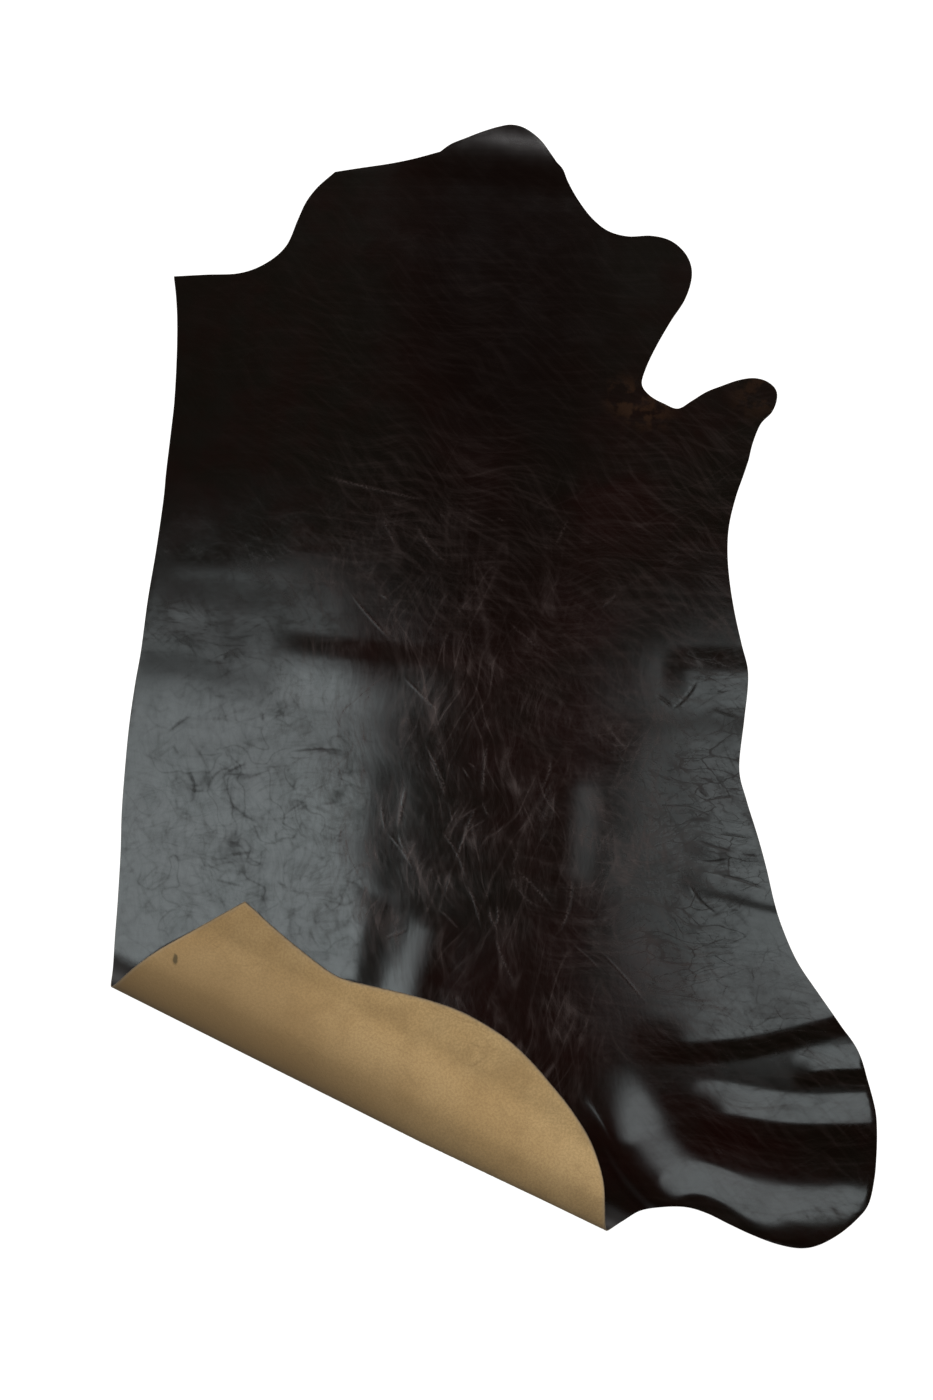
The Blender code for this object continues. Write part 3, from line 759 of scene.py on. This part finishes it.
def make_hide(finishes):
    """The side of leather as one object, with the flat sheet as its UV map in metres."""
    points, flats, faces, finish = sheet_mesh()
    mesh = bpy.data.meshes.new("hide_leather")
    mesh.from_pydata(points, [], faces)
    hide = bpy.data.objects.new("hide_leather", mesh)
    bpy.context.scene.collection.objects.link(hide)
    for material in finishes:
        mesh.materials.append(material)
    mesh.polygons.foreach_set("material_index", finish.astype(np.int32))
    corner_point = np.empty(len(mesh.loops), dtype=np.int32)
    mesh.loops.foreach_get("vertex_index", corner_point)
    flat_cut = mesh.uv_layers.new(name="flat_cut")
    flat_cut.data.foreach_set("uv", flats[corner_point].astype(np.float32).ravel())
    for name, patches in REGIONS.items():
        set_mask(mesh, name, region(flats, patches))
    edge_gap = depth_inside(flats, cut_edge(EDGE_STEP))
    # the suede's free edges: a tan band, and a painted contact shadow at the very edge
    set_mask(mesh, "by_edge", 1.0 - smooth_step(edge_gap / BY_EDGE))
    # painted shade of the fold, for the suede's colour
    set_mask(mesh, "by_fold", fold_shade(flats))
    set_mask(mesh, "in_fold", 1.0 - smooth_step(past_lift_off(flats) / IN_FOLD))
    _, rubbed, furrowed = wrinkle_relief(flats)
    set_mask(mesh, "rubbed", rubbed)
    set_mask(mesh, "furrowed", furrowed)
    mesh.shade_smooth()
    mesh.set_sharp_from_angle(angle=np.radians(SHARP_ANGLE))
    mesh.update()
    return hide


# ----------------------------------------------------------------- shared effects

def join(tree, value, socket):
    """Gives a socket its value, which is a number, a colour or the output of a node."""
    if isinstance(value, bpy.types.NodeSocket):
        tree.links.new(value, socket)
    else:
        socket.default_value = value


def node(tree, kind, inputs, **settings):
    """A new node with its inputs, by name or number, and its settings."""
    made = tree.nodes.new("ShaderNode" + kind)
    for name, value in settings.items():
        setattr(made, name, value)
    for name, value in inputs.items():
        join(tree, value, made.inputs[name])
    return made


def maths(tree, operation, a, b=0.0, c=0.0):
    """Result of a calculation with numbers."""
    return node(tree, "Math", {0: a, 1: b, 2: c}, operation=operation).outputs[0]


def times(tree, a, b):
    """Product of two numbers."""
    return maths(tree, "MULTIPLY", a, b)


def vector_maths(tree, operation, a, b, c=(0.0, 0.0, 0.0)):
    """Result of a calculation with places."""
    return node(tree, "VectorMath", {0: a, 1: b, 2: c}, operation=operation).outputs[0]


def total(tree, terms):
    """Sum of some values, each times its own size."""
    result = 0.0
    for value, size in terms:
        result = maths(tree, "MULTIPLY_ADD", value, size, result)
    return result


def clamped(tree, value):
    """The value, kept between 0 and 1."""
    return node(tree, "Clamp", {"Value": value}).outputs[0]


def ramp(tree, value, low, high, to_low=0.0, to_high=1.0):
    """to_low below low, to_high above high, and an S curve between them."""
    inputs = {"Value": value, "From Min": low, "From Max": high, "To Min": to_low, "To Max": to_high}
    return node(tree, "MapRange", inputs, interpolation_type="SMOOTHSTEP").outputs["Result"]


def noise(tree, place, size, detail=1.0, roughness=0.5, output="Fac"):
    """Smooth random value from 0 to 1 with lumps of about the size given, in metres, or
    three such values as a colour."""
    scale = 1.0 / size if isinstance(size, float) else maths(tree, "DIVIDE", 1.0, size)
    inputs = {"Vector": place, "Scale": scale, "Detail": detail, "Roughness": roughness}
    return node(tree, "TexNoise", inputs, noise_dimensions="2D").outputs[output]


def drawn_about(tree, place, size, far, detail=1.0):
    """Places moved about by smooth noise of a size, by up to about half of far."""
    drift = noise(tree, place, size, detail, output="Color")
    drift = vector_maths(tree, "SUBTRACT", drift, (0.5, 0.5, 0.5))
    return vector_maths(tree, "MULTIPLY_ADD", drift, (far, far, 0.0), place)


def turned(tree, place, angle):
    """Place turned about the origin."""
    inputs = {"Vector": place, "Angle": angle}
    return node(tree, "VectorRotate", inputs, rotation_type="Z_AXIS").outputs[0]


def painted(tree, colour, layers):
    """A colour with others laid over it, each by its own share from 0 to 1."""
    for share, tone in layers:
        colour = node(tree, "Mix", {"Factor": share, 6: colour, 7: tone}, data_type="RGBA").outputs[2]
    return colour


def effect(name, result, **values):
    """An empty node group that takes a place and some values and gives one result: its
    tree, the output sockets of its start and the input sockets of its end."""
    tree = bpy.data.node_groups.new(name, "ShaderNodeTree")
    tree.interface.new_socket("Place", in_out="INPUT", socket_type="NodeSocketVector")
    for label, value in values.items():
        socket = tree.interface.new_socket(label, in_out="INPUT", socket_type="NodeSocketFloat")
        socket.default_value = value
    tree.interface.new_socket(result, in_out="OUTPUT", socket_type="NodeSocketFloat")
    start = tree.nodes.new("NodeGroupInput").outputs
    end = tree.nodes.new("NodeGroupOutput").inputs
    return tree, start, end


def place_effect(tree, group, place, **inputs):
    """The result of a shared effect, put into a material."""
    made = tree.nodes.new("ShaderNodeGroup")
    made.node_tree = group
    for name, value in {"Place": place, **inputs}.items():
        join(tree, value, made.inputs[name])
    return made.outputs[0]


# Where lines are left out: under this level of a fade value with no cover, which full
# cover brings down, and over how much they fade in above it.
FADE_LEVEL, FADE_FALL, FADE_SOFTNESS = 0.72, 0.45, 0.14
# The fade value of hair lines is noise at another place than theirs, and stretched less.
FADE_STRETCH, FADE_SHIFT = (0.7, 0.45, 0.0), (31.7, 12.3, 0.0)
FRAYING = 0.68           # roughness of the noise that strokes are made of


def faded_lines(tree, from_middle, thickness, fade_value, cover):
    """Lines where a value is nearer to 0 than their thickness. They are squared, so that
    they taper sideways, and left out where a fade value is under a level that falls as
    cover rises."""
    lines = clamped(tree, maths(tree, "SUBTRACT", 1.0, maths(tree, "DIVIDE", from_middle, thickness)))
    level = maths(tree, "SUBTRACT", FADE_LEVEL, times(tree, cover, FADE_FALL))
    fade = ramp(tree, fade_value, level, maths(tree, "ADD", level, FADE_SOFTNESS))
    return times(tree, times(tree, lines, lines), fade)


def stretched_place(tree, start):
    """Place turned, and then divided by a length and a width, so that noise of size 1 on
    it has lumps that long and that wide. The seed moves it elsewhere in the noise."""
    stretch = node(tree, "CombineXYZ", {
        "X": maths(tree, "DIVIDE", 1.0, start["Length"]),
        "Y": maths(tree, "DIVIDE", 1.0, start["Width"]),
    }).outputs[0]
    shift = node(tree, "CombineXYZ", {"X": start["Seed"], "Y": start["Seed"]}).outputs[0]
    return vector_maths(tree, "MULTIPLY_ADD", turned(tree, start["Place"], start["Turn"]), stretch, shift)


def strokes_effect():
    """Soft spindle-shaped strokes that mostly run one way: the highest parts of noise
    that is stretched along them. More detail frays them into finer ones."""
    tree, start, end = effect("strokes", "Lines", Turn=0.0, Length=0.12, Width=0.012,
                              Low=0.55, High=0.80, Detail=1.0, Seed=0.0)
    value = noise(tree, stretched_place(tree, start), 1.0, start["Detail"], FRAYING)
    join(tree, ramp(tree, value, start["Low"], start["High"]), end["Lines"])
    return tree


def hair_lines_effect():
    """Thin wandering lines that mostly run one way, as the leather wrinkles when it is
    bent: where smooth noise, stretched along the lines, crosses its middle value. A
    second noise lets each line fade in and out."""
    tree, start, end = effect("hair lines", "Lines", Turn=0.0, Length=0.12, Width=0.012,
                              Thickness=0.06, Cover=0.5, Seed=0.0)
    place = stretched_place(tree, start)
    value = noise(tree, place, 1.0, roughness=0.4)
    from_middle = maths(tree, "ABSOLUTE", maths(tree, "SUBTRACT", value, 0.5))
    elsewhere = vector_maths(tree, "MULTIPLY_ADD", place, FADE_STRETCH, FADE_SHIFT)
    fade = noise(tree, elsewhere, 1.0, detail=0.0)
    lines = faded_lines(tree, from_middle, start["Thickness"], fade, start["Cover"])
    join(tree, lines, end["Lines"])
    return tree


def vein_net_effect():
    """Net of thin lines: the borders between the cells of a Voronoi pattern, with
    stretches of border left out."""
    tree, start, end = effect("vein net", "Lines", Cell=0.05, Width=0.003, Cover=0.5, Squeeze=1.0)
    squeeze = node(tree, "CombineXYZ", {"X": 1.0, "Y": start["Squeeze"]}).outputs[0]
    cells = node(tree, "TexVoronoi", {
        "Vector": vector_maths(tree, "MULTIPLY", start["Place"], squeeze),
        "Scale": maths(tree, "DIVIDE", 1.0, start["Cell"]),
    }, feature="DISTANCE_TO_EDGE", voronoi_dimensions="2D")
    thickness = maths(tree, "DIVIDE", start["Width"], start["Cell"])
    fade = noise(tree, start["Place"], times(tree, start["Cell"], 1.3))
    lines = faded_lines(tree, cells.outputs["Distance"], thickness, fade, start["Cover"])
    join(tree, lines, end["Lines"])
    return tree


def clouds_effect():
    """Soft cloudy mask: noise of a few octaves, 0 below one level and 1 above another."""
    tree, start, end = effect("clouds", "Mask", Size=0.1, Low=0.4, High=0.6)
    value = noise(tree, start["Place"], start["Size"], detail=3.0, roughness=0.6)
    join(tree, ramp(tree, value, start["Low"], start["High"]), end["Mask"])
    return tree


# ----------------------------------------------------------------- finishes

DEEP_BROWN = (0.0050, 0.0034, 0.0020, 1.0)
OXBLOOD = (0.0085, 0.0022, 0.0014, 1.0)
NEAR_BLACK = (0.0036, 0.0012, 0.0006, 1.0)
WORN_BROWN = (0.024, 0.011, 0.0055, 1.0)
CREASE_TONE = (0.054, 0.036, 0.032, 1.0)
SUEDE_TAN = (0.462, 0.300, 0.131, 1.0)
SUEDE_PALE = (0.520, 0.352, 0.164, 1.0)
SUEDE_DEEP = (0.180, 0.110, 0.046, 1.0)
NAP_SHEEN = (0.9, 0.8, 0.62, 1.0)
STAIN_TONE = (0.060, 0.045, 0.022, 1.0)
EDGE_TAN = (0.300, 0.235, 0.155, 1.0)
EDGE_DARK = (0.110, 0.075, 0.045, 1.0)

STAIN_PLACE = (*flat_under(-0.568, -0.488), 0.0)
STAIN_TURN = -0.65                  # brings its long axis onto X
STAIN_SQUEEZE = (75.0, 180.0, 0.0)  # one over its half axes

GLAZE = 1.00             # weight of the clear glaze on the grain side
GLAZING_MARKS = (0.9, 150.0, 1.0)   # one over the length and width of its faint marks
FIBRE = 1.0 / 260.0
PORES = 620.0            # to the metre
BELLY_FROM = 0.05        # place across the sheet where the nets of lines change

# How strokes, hair lines and nets of lines are laid on the grain. Each way to lay them is
# the angle that they are turned by, in radians, and their seed.
#    strokes    ways                                          length width  low   high  detail
GRAIN_STROKES = {
    "haze":     (((1.38, 1.0), (1.85, 12.3)),                 0.140, 0.011, 0.42, 0.84, 4.0),
    "level":    (((0.10, 45.2),),                             0.150, 0.011, 0.42, 0.84, 4.0),
    "slanting": (((0.75, 66.8),),                             0.130, 0.011, 0.42, 0.84, 4.0),
    "wisps":    (((1.00, 91.4), (0.20, 14.9), (-0.45, 38.6)), 0.070, 0.012, 0.50, 0.86, 2.5),
    "rolling":  (((1.50, 3.3),),                              0.080, 0.022, 0.15, 0.85, 2.0),
}
#    hair lines ways                                          length width  thickness  cover
GRAIN_LINES = {
    "strands":  (((1.26, 5.5), (1.60, 33.9), (2.02, 71.2)),   0.260, 0.034, 0.070, 0.62),
    "hairs":    (((1.15, 17.7), (1.75, 24.1)),                0.140, 0.018, 0.060, 0.60),
    "creases":  (((0.70, 8.8), (0.15, 29.3), (-0.50, 55.6)),  0.170, 0.036, 0.040, 0.48),
    "splits":   (((0.08, 19.4),),                             0.150, 0.034, 0.030, 0.62),
    "arcs":     (((1.30, 61.7), (0.20, 83.1)),                0.080, 0.050, 0.060, 0.50),
}
#    nets        on the backbone side and on the belly side
GRAIN_NETS = {
    "net":       {"Cell": (0.062, 0.060), "Width": (0.0062, 0.0034),
                  "Cover": (0.50, 0.72), "Squeeze": (1.0, 2.1)},
    "small_net": {"Cell": (0.026, 0.014), "Width": (0.0040, 0.0020),
                  "Cover": (0.42, 0.55), "Squeeze": (0.8, 1.5)},
}
GRAIN_MASKS = ("back", "shoulder", "loin", "belly", "oxblood", "rippled", "darkest", "coarse",
               "armpit", "rubbed", "furrowed", "in_fold")


def attribute(tree, name):
    """One of the masks that the mesh keeps."""
    return node(tree, "Attribute", {}, attribute_name=name).outputs["Fac"]


def flat_place(tree):
    """Place on the flat cut sheet, in metres."""
    return node(tree, "UVMap", {}, uv_map="flat_cut").outputs["UV"]


def new_finish(name):
    """A new material, its tree and the inputs of its shader."""
    material = bpy.data.materials.new(name)
    material.use_nodes = True
    return material, material.node_tree, material.node_tree.nodes["Principled BSDF"].inputs


def fine_relief(tree, shader, height, strength=1.0, distance=0.001):
    """Lets a finish catch the light like a relief. At distance 0.001 and strength 1 its
    heights are in millimetres."""
    bump = node(tree, "Bump", {"Strength": strength, "Distance": distance, "Height": height})
    join(tree, bump.outputs["Normal"], shader["Normal"])


def grain_marks(tree, place, strokes, hair_lines, vein_net):
    """The strokes, lines and nets that the grain is drawn with, by name. Those laid in
    more than one way are added up."""
    bent = drawn_about(tree, place, 0.170, 0.065)
    curled = drawn_about(tree, place, 0.060, 0.050)
    frayed = drawn_about(tree, bent, 0.020, 0.009, detail=2.0)

    def laid(group, where, ways, **sizes):
        return total(tree, [
            (place_effect(tree, group, where, Turn=turn, Seed=seed, **sizes), 1.0)
            for turn, seed in ways
        ])

    marks = {"crinkle": noise(tree, bent, 0.006)}
    for name, (ways, length, width, low, high, detail) in GRAIN_STROKES.items():
        marks[name] = laid(strokes, bent, ways, Length=length, Width=width, Low=low, High=high,
                           Detail=detail)
    for name, (ways, length, width, thickness, cover) in GRAIN_LINES.items():
        marks[name] = laid(hair_lines, curled if name == "arcs" else bent, ways, Length=length,
                           Width=width, Thickness=thickness, Cover=cover)
    across = node(tree, "SeparateXYZ", {"Vector": place}).outputs["X"]
    belly_side = maths(tree, "GREATER_THAN", across, BELLY_FROM)
    for name, sizes in GRAIN_NETS.items():
        by_side = {
            label: node(tree, "Mix", {0: belly_side, 2: backbone, 3: belly}, data_type="FLOAT").outputs[0]
            for label, (backbone, belly) in sizes.items()
        }
        marks[name] = place_effect(tree, vein_net, frayed, **by_side)
    return marks


def grain_finish(strokes, hair_lines, vein_net, clouds):
    """Glossy aniline grain under a clear glaze: near black with oxblood clouds. Brushed
    haze and strands over the back and the shoulder, veins on the loin and cracks on the
    belly are duller, rougher and paler, and the glaze is thinner on them."""
    material, tree, shader = new_finish("glossy_grain")
    place = flat_place(tree)
    marks = grain_marks(tree, place, strokes, hair_lines, vein_net)
    mask = {name: attribute(tree, name) for name in GRAIN_MASKS}

    def clouded(**sizes):
        return place_effect(tree, clouds, place, **sizes)

    def drawn(**sizes):
        return total(tree, [(marks[name], size) for name, size in sizes.items()])

    marks["blotchy"] = clouded(Size=0.050, Low=0.40, High=0.72)
    patchy = clouded(Size=0.085, Low=0.36, High=0.66)
    uneven_back = times(tree, mask["back"], total(tree, ((patchy, 0.75), (1.0, 0.25))))
    brushed = total(tree, (
        (times(tree, drawn(haze=0.34, strands=0.54, hairs=0.26), uneven_back), 1.0),
        (times(tree, drawn(level=0.34, slanting=0.36, creases=0.14), mask["shoulder"]), 1.0),
    ))
    mottled = drawn(level=0.16, haze=0.26, blotchy=0.30, wisps=0.34, arcs=0.40)
    mottled = clamped(tree, times(tree, mottled, mask["loin"]))
    streaked = drawn(level=0.50, slanting=0.50, wisps=0.70, blotchy=0.60)
    streaked = times(tree, streaked, mask["rippled"])
    cracked = drawn(net=0.90, small_net=0.45, splits=0.90, arcs=0.15, level=0.35, wisps=0.45, blotchy=0.30)
    cracked = times(tree, cracked, mask["belly"])
    rubbed = times(tree, mask["rubbed"], ramp(tree, noise(tree, place, FIBRE, detail=2.0), 0.30, 0.62))

    glazing = vector_maths(tree, "MULTIPLY", place, GLAZING_MARKS)
    glazing = noise(tree, glazing, 1.0, detail=2.0, roughness=0.6)
    pores = node(tree, "TexVoronoi", {"Vector": place, "Scale": PORES}, voronoi_dimensions="2D")
    fine_relief(tree, shader, total(tree, (
        (marks["rolling"], 0.05), (marks["small_net"], times(tree, mask["belly"], -0.02)),
        (times(tree, marks["crinkle"], mask["coarse"]), 0.30), (pores.outputs["Distance"], 0.010),
        (noise(tree, place, 0.0045), 0.012), (glazing, 0.006),
    )))

    reddened = total(tree, (
        (mask["oxblood"], 0.75), (clouded(Size=0.16, Low=0.42, High=0.62), 0.30),
        (clouded(Size=0.045, Low=0.45, High=0.60), 0.16),
    ))
    reddened = clamped(tree, times(tree, reddened, clouded(Size=0.30, Low=0.25, High=0.50)))
    pale = clamped(tree, total(tree, ((brushed, 0.85), (rubbed, 0.60))))
    worn = times(tree, mask["armpit"], clouded(Size=0.030, Low=0.42, High=0.62))
    colour = painted(tree, DEEP_BROWN, (
        (reddened, OXBLOOD), (mask["darkest"], NEAR_BLACK), (pale, CREASE_TONE), (worn, WORN_BROWN),
    ))
    join(tree, colour, shader["Base Color"])

    dull = total(tree, (
        (brushed, 0.50), (rubbed, 0.50), (mottled, 0.50), (streaked, 0.40), (cracked, 0.90),
        (mask["coarse"], 0.30), (mask["furrowed"], 0.30), (mask["in_fold"], 2.00),
    ))
    roughness = total(tree, (
        (dull, 0.24), (patchy, 0.03), (glazing, 0.03), (mask["belly"], 0.07), (1.0, 0.090),
    ))
    join(tree, roughness, shader["Roughness"])

    thin = clamped(tree, total(tree, (
        (brushed, 1.10), (rubbed, 0.60), (mottled, 1.10), (streaked, 0.80), (cracked, 1.00),
        (mask["furrowed"], 0.45), (mask["in_fold"], 1.00),
    )))
    join(tree, total(tree, ((1.0, GLAZE), (thin, -GLAZE))), shader["Coat Weight"])
    shader["Coat Roughness"].default_value = 0.11
    return material


def stain(tree, place, tufts):
    """Share of the one small stain: an ellipse with a frayed rim."""
    centred = vector_maths(tree, "SUBTRACT", place, STAIN_PLACE)
    centred = vector_maths(tree, "MULTIPLY", turned(tree, centred, STAIN_TURN), STAIN_SQUEEZE)
    away = node(tree, "VectorMath", {0: centred}, operation="LENGTH").outputs["Value"]
    return ramp(tree, total(tree, ((away, 1.0), (tufts, 0.9))), 0.85, 1.55, 0.85, 0.0)


def suede_finish(clouds, hair_lines):
    """Flesh side: tan suede with a short nap, cloudy, with painted shade round the fold, darker at
    the corner's tip and along its free edges, a painted contact shadow right at them, and one small stain."""
    material, tree, shader = new_finish("tan_suede")
    place = flat_place(tree)
    nap = noise(tree, place, 0.0046, detail=3.0, roughness=0.85)
    tufts = noise(tree, place, 0.011, detail=2.0, roughness=0.6)
    marks = place_effect(tree, hair_lines, drawn_about(tree, place, 0.1, 0.08), Turn=0.45,
                         Length=0.10, Width=0.030, Thickness=0.05, Cover=0.35, Seed=4.4)
    pale = place_effect(tree, clouds, place, Size=0.20, Low=0.32, High=0.68)
    deep = place_effect(tree, clouds, place, Size=0.06, Low=0.44, High=0.70)
    by_edge = attribute(tree, "by_edge")
    colour = painted(tree, SUEDE_TAN, (
        (pale, SUEDE_PALE),
        (times(tree, deep, 0.20), SUEDE_DEEP),
        (times(tree, ramp(tree, nap, 0.38, 0.62), 0.34), SUEDE_DEEP),
        (times(tree, marks, 0.25), SUEDE_DEEP),
        # painted shade round the fold
        (times(tree, attribute(tree, "by_fold"), 0.95), SUEDE_DEEP),
        # darker towards the tip of the turned-over corner
        (attribute(tree, "darkened"), SUEDE_DEEP),
        (times(tree, by_edge, 0.55), EDGE_TAN),
        # painted contact shadow: the outermost strip of the free edge is darkened
        (ramp(tree, by_edge, 0.70, 0.95, 0.0, 0.85), EDGE_DARK),
        (stain(tree, place, tufts), STAIN_TONE),
    ))
    join(tree, colour, shader["Base Color"])
    shader["Roughness"].default_value = 0.92
    shader["Specular IOR Level"].default_value = 0.25
    shader["Sheen Weight"].default_value = 0.25
    shader["Sheen Roughness"].default_value = 0.5
    shader["Sheen Tint"].default_value = NAP_SHEEN
    fine_relief(tree, shader, total(tree, ((nap, 0.50), (tufts, 0.30), (marks, -0.15))), strength=0.8)
    return material


def cut_edge_finish():
    """Cut edge: raw tan fibre, darker where the dye of the grain side has run in."""
    material, tree, shader = new_finish("raw_cut_edge")
    place = flat_place(tree)
    fibre = noise(tree, place, 0.0012, detail=3.0, roughness=0.7)
    streaks = noise(tree, place, 0.012, detail=3.0)
    undyed = ramp(tree, total(tree, ((fibre, 0.6), (streaks, 0.6))), 0.4, 0.75)
    join(tree, painted(tree, EDGE_DARK, ((undyed, EDGE_TAN),)), shader["Base Color"])
    shader["Roughness"].default_value = 0.85
    fine_relief(tree, shader, fibre, strength=0.8, distance=0.0004)
    return material


# ----------------------------------------------------------------- studio

CAMERA_HEIGHT = 5.0
CAMERA_X, CAMERA_Y = -0.0486, -0.0252
VIEW_LENGTH = 2.52       # of the floor that the long side of the picture takes in
SENSOR = 36.0            # mm
FAR_CLIP = 100.0

PANEL_HEIGHT = 3.0
PANEL_COLOUR = (0.88, 0.98, 1.0)
PANEL_LUMPS = 0.25       # of the noise that draws a panel's sides about, in shares of it
# Panels that show in the leather, between places where the camera sees their sides
# mirrored. softness is the share of its size over which each grows from the west, east,
# south and north side, and wander is how far its sides are drawn about, also in shares.
#    panel             west and east    south and north  softness                  wander radiance
PANELS = (
    ("backbone_panel", (-0.80, -0.212), (-0.66, 0.300), (0.02, 0.03, 0.02, 0.52), 0.12, 2.15),
    ("belly_panel",    (0.165, 0.80),  (-0.625, 0.090), (0.50, 0.02, 0.05, 0.08), 0.10, 1.42),
)

KEY_PLACE = (1.0, 4.6, 6.8)
KEY_SIZE = (5.0, 1.6)
KEY_POWER = 500.0        # W

SKY_COLOUR = (0.97, 0.985, 1.0, 1.0)
SKY_LEVELS = (0.85, 0.012)      # near the horizon, and overhead
SOUTH_SHARE = 0.35       # of the sky in the south, against that in the north

FLOOR_HALF = 8.0
FLOOR_LEVEL = -0.0002    # just under the leather
FLOOR_GREY = (0.20, 0.20, 0.20, 1.0)
FLOOR_GLOW = 0.30        # of the floor on the leather, where the camera sees it as 1


def mirrored(x, camera):
    """Place on the panels that the camera sees in the leather at a place on the floor."""
    return x + (x - camera) * PANEL_HEIGHT / CAMERA_HEIGHT


def soft_light(name, place, width, length, power):
    """A rectangle of light that the camera doesn't see. It faces down until it is turned."""
    light = bpy.data.lights.new(name, "AREA")
    light.shape = "RECTANGLE"
    light.size, light.size_y = width, length
    light.energy = power
    lamp = bpy.data.objects.new(name, light)
    lamp.location = place
    lamp.visible_camera = False
    bpy.context.scene.collection.objects.link(lamp)
    return lamp


def panel(name, x_range, y_range, softness, wander, radiance):
    """One of the panels. It is 0 at its sides and grows inwards in an S curve."""
    x0, x1 = (mirrored(x, CAMERA_X) for x in x_range)
    y0, y1 = (mirrored(y, CAMERA_Y) for y in y_range)
    middle = ((x0 + x1) / 2.0, (y0 + y1) / 2.0, PANEL_HEIGHT)
    light = soft_light(name, middle, x1 - x0, y1 - y0, radiance * np.pi * (x1 - x0) * (y1 - y0)).data
    light.color = PANEL_COLOUR
    light.use_nodes = True
    tree = light.node_tree
    place = node(tree, "NewGeometry", {}).outputs["Parametric"]
    place = drawn_about(tree, place, PANEL_LUMPS, wander, detail=5.0)
    place = node(tree, "SeparateXYZ", {"Vector": place}).outputs
    west, east, south, north = softness
    strength = ramp(tree, place["X"], 0.0, west)
    for side in (
        ramp(tree, place["X"], 1.0, 1.0 - east),
        ramp(tree, place["Y"], 0.0, south),
        ramp(tree, place["Y"], 1.0, 1.0 - north),
    ):
        strength = times(tree, strength, side)
    join(tree, strength, tree.nodes["Emission"].inputs["Strength"])


def key_light():
    """A soft light from the neck end, which faces the middle of the hide."""
    lamp = soft_light("key", KEY_PLACE, *KEY_SIZE, KEY_POWER)
    lamp.rotation_euler = Vector(KEY_PLACE).to_track_quat("Z", "Y").to_euler()


def make_world():
    """Dark overhead and bright near the horizon, and brighter in the north."""
    world = bpy.data.worlds.new("studio")
    bpy.context.scene.world = world
    world.use_nodes = True
    tree = world.node_tree
    direction = node(tree, "TexCoord", {}).outputs["Generated"]
    direction = node(tree, "SeparateXYZ", {"Vector": direction}).outputs
    level = ramp(tree, direction["Z"], 0.40, 0.80, *SKY_LEVELS)
    north = ramp(tree, direction["Y"], -0.6, 0.6, SOUTH_SHARE, 1.0)
    background = tree.nodes["Background"].inputs
    background["Color"].default_value = SKY_COLOUR
    join(tree, times(tree, level, north), background["Strength"])


def make_floor():
    """The pale floor. It is white to the camera and darker to the leather."""
    corners = ((-1.0, -1.0), (1.0, -1.0), (1.0, 1.0), (-1.0, 1.0))
    mesh = bpy.data.meshes.new("floor")
    mesh.from_pydata([(x * FLOOR_HALF, y * FLOOR_HALF, FLOOR_LEVEL) for x, y in corners],
                     [], [(0, 1, 2, 3)])
    floor = bpy.data.objects.new("floor", mesh)
    bpy.context.scene.collection.objects.link(floor)
    material, tree, shader = new_finish("pale_floor")
    shader["Base Color"].default_value = FLOOR_GREY
    shader["Roughness"].default_value = 0.9
    shader["Emission Color"].default_value = (1.0, 1.0, 1.0, 1.0)
    seen = node(tree, "LightPath", {}).outputs["Is Camera Ray"]
    join(tree, ramp(tree, seen, 0.0, 1.0, FLOOR_GLOW, 1.0), shader["Emission Strength"])
    mesh.materials.append(material)


def make_camera():
    """Looks straight down, as the photo does."""
    data = bpy.data.cameras.new("camera")
    data.sensor_width = SENSOR
    data.lens = SENSOR * CAMERA_HEIGHT / VIEW_LENGTH
    data.clip_end = FAR_CLIP
    camera = bpy.data.objects.new("camera", data)
    camera.location = (CAMERA_X, CAMERA_Y, CAMERA_HEIGHT)
    bpy.context.scene.collection.objects.link(camera)
    bpy.context.scene.camera = camera


bpy.context.scene.view_settings.view_transform = "Standard"
make_world()
make_floor()
make_camera()
key_light()
for soft_panel in PANELS:
    panel(*soft_panel)

strokes, hair_lines = strokes_effect(), hair_lines_effect()
vein_net, clouds = vein_net_effect(), clouds_effect()
hide = make_hide((
    grain_finish(strokes, hair_lines, vein_net, clouds),
    suede_finish(clouds, hair_lines),
    cut_edge_finish(),
))
ring = cut_edge(EDGE_STEP)
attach(hide, "root")
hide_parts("hide")
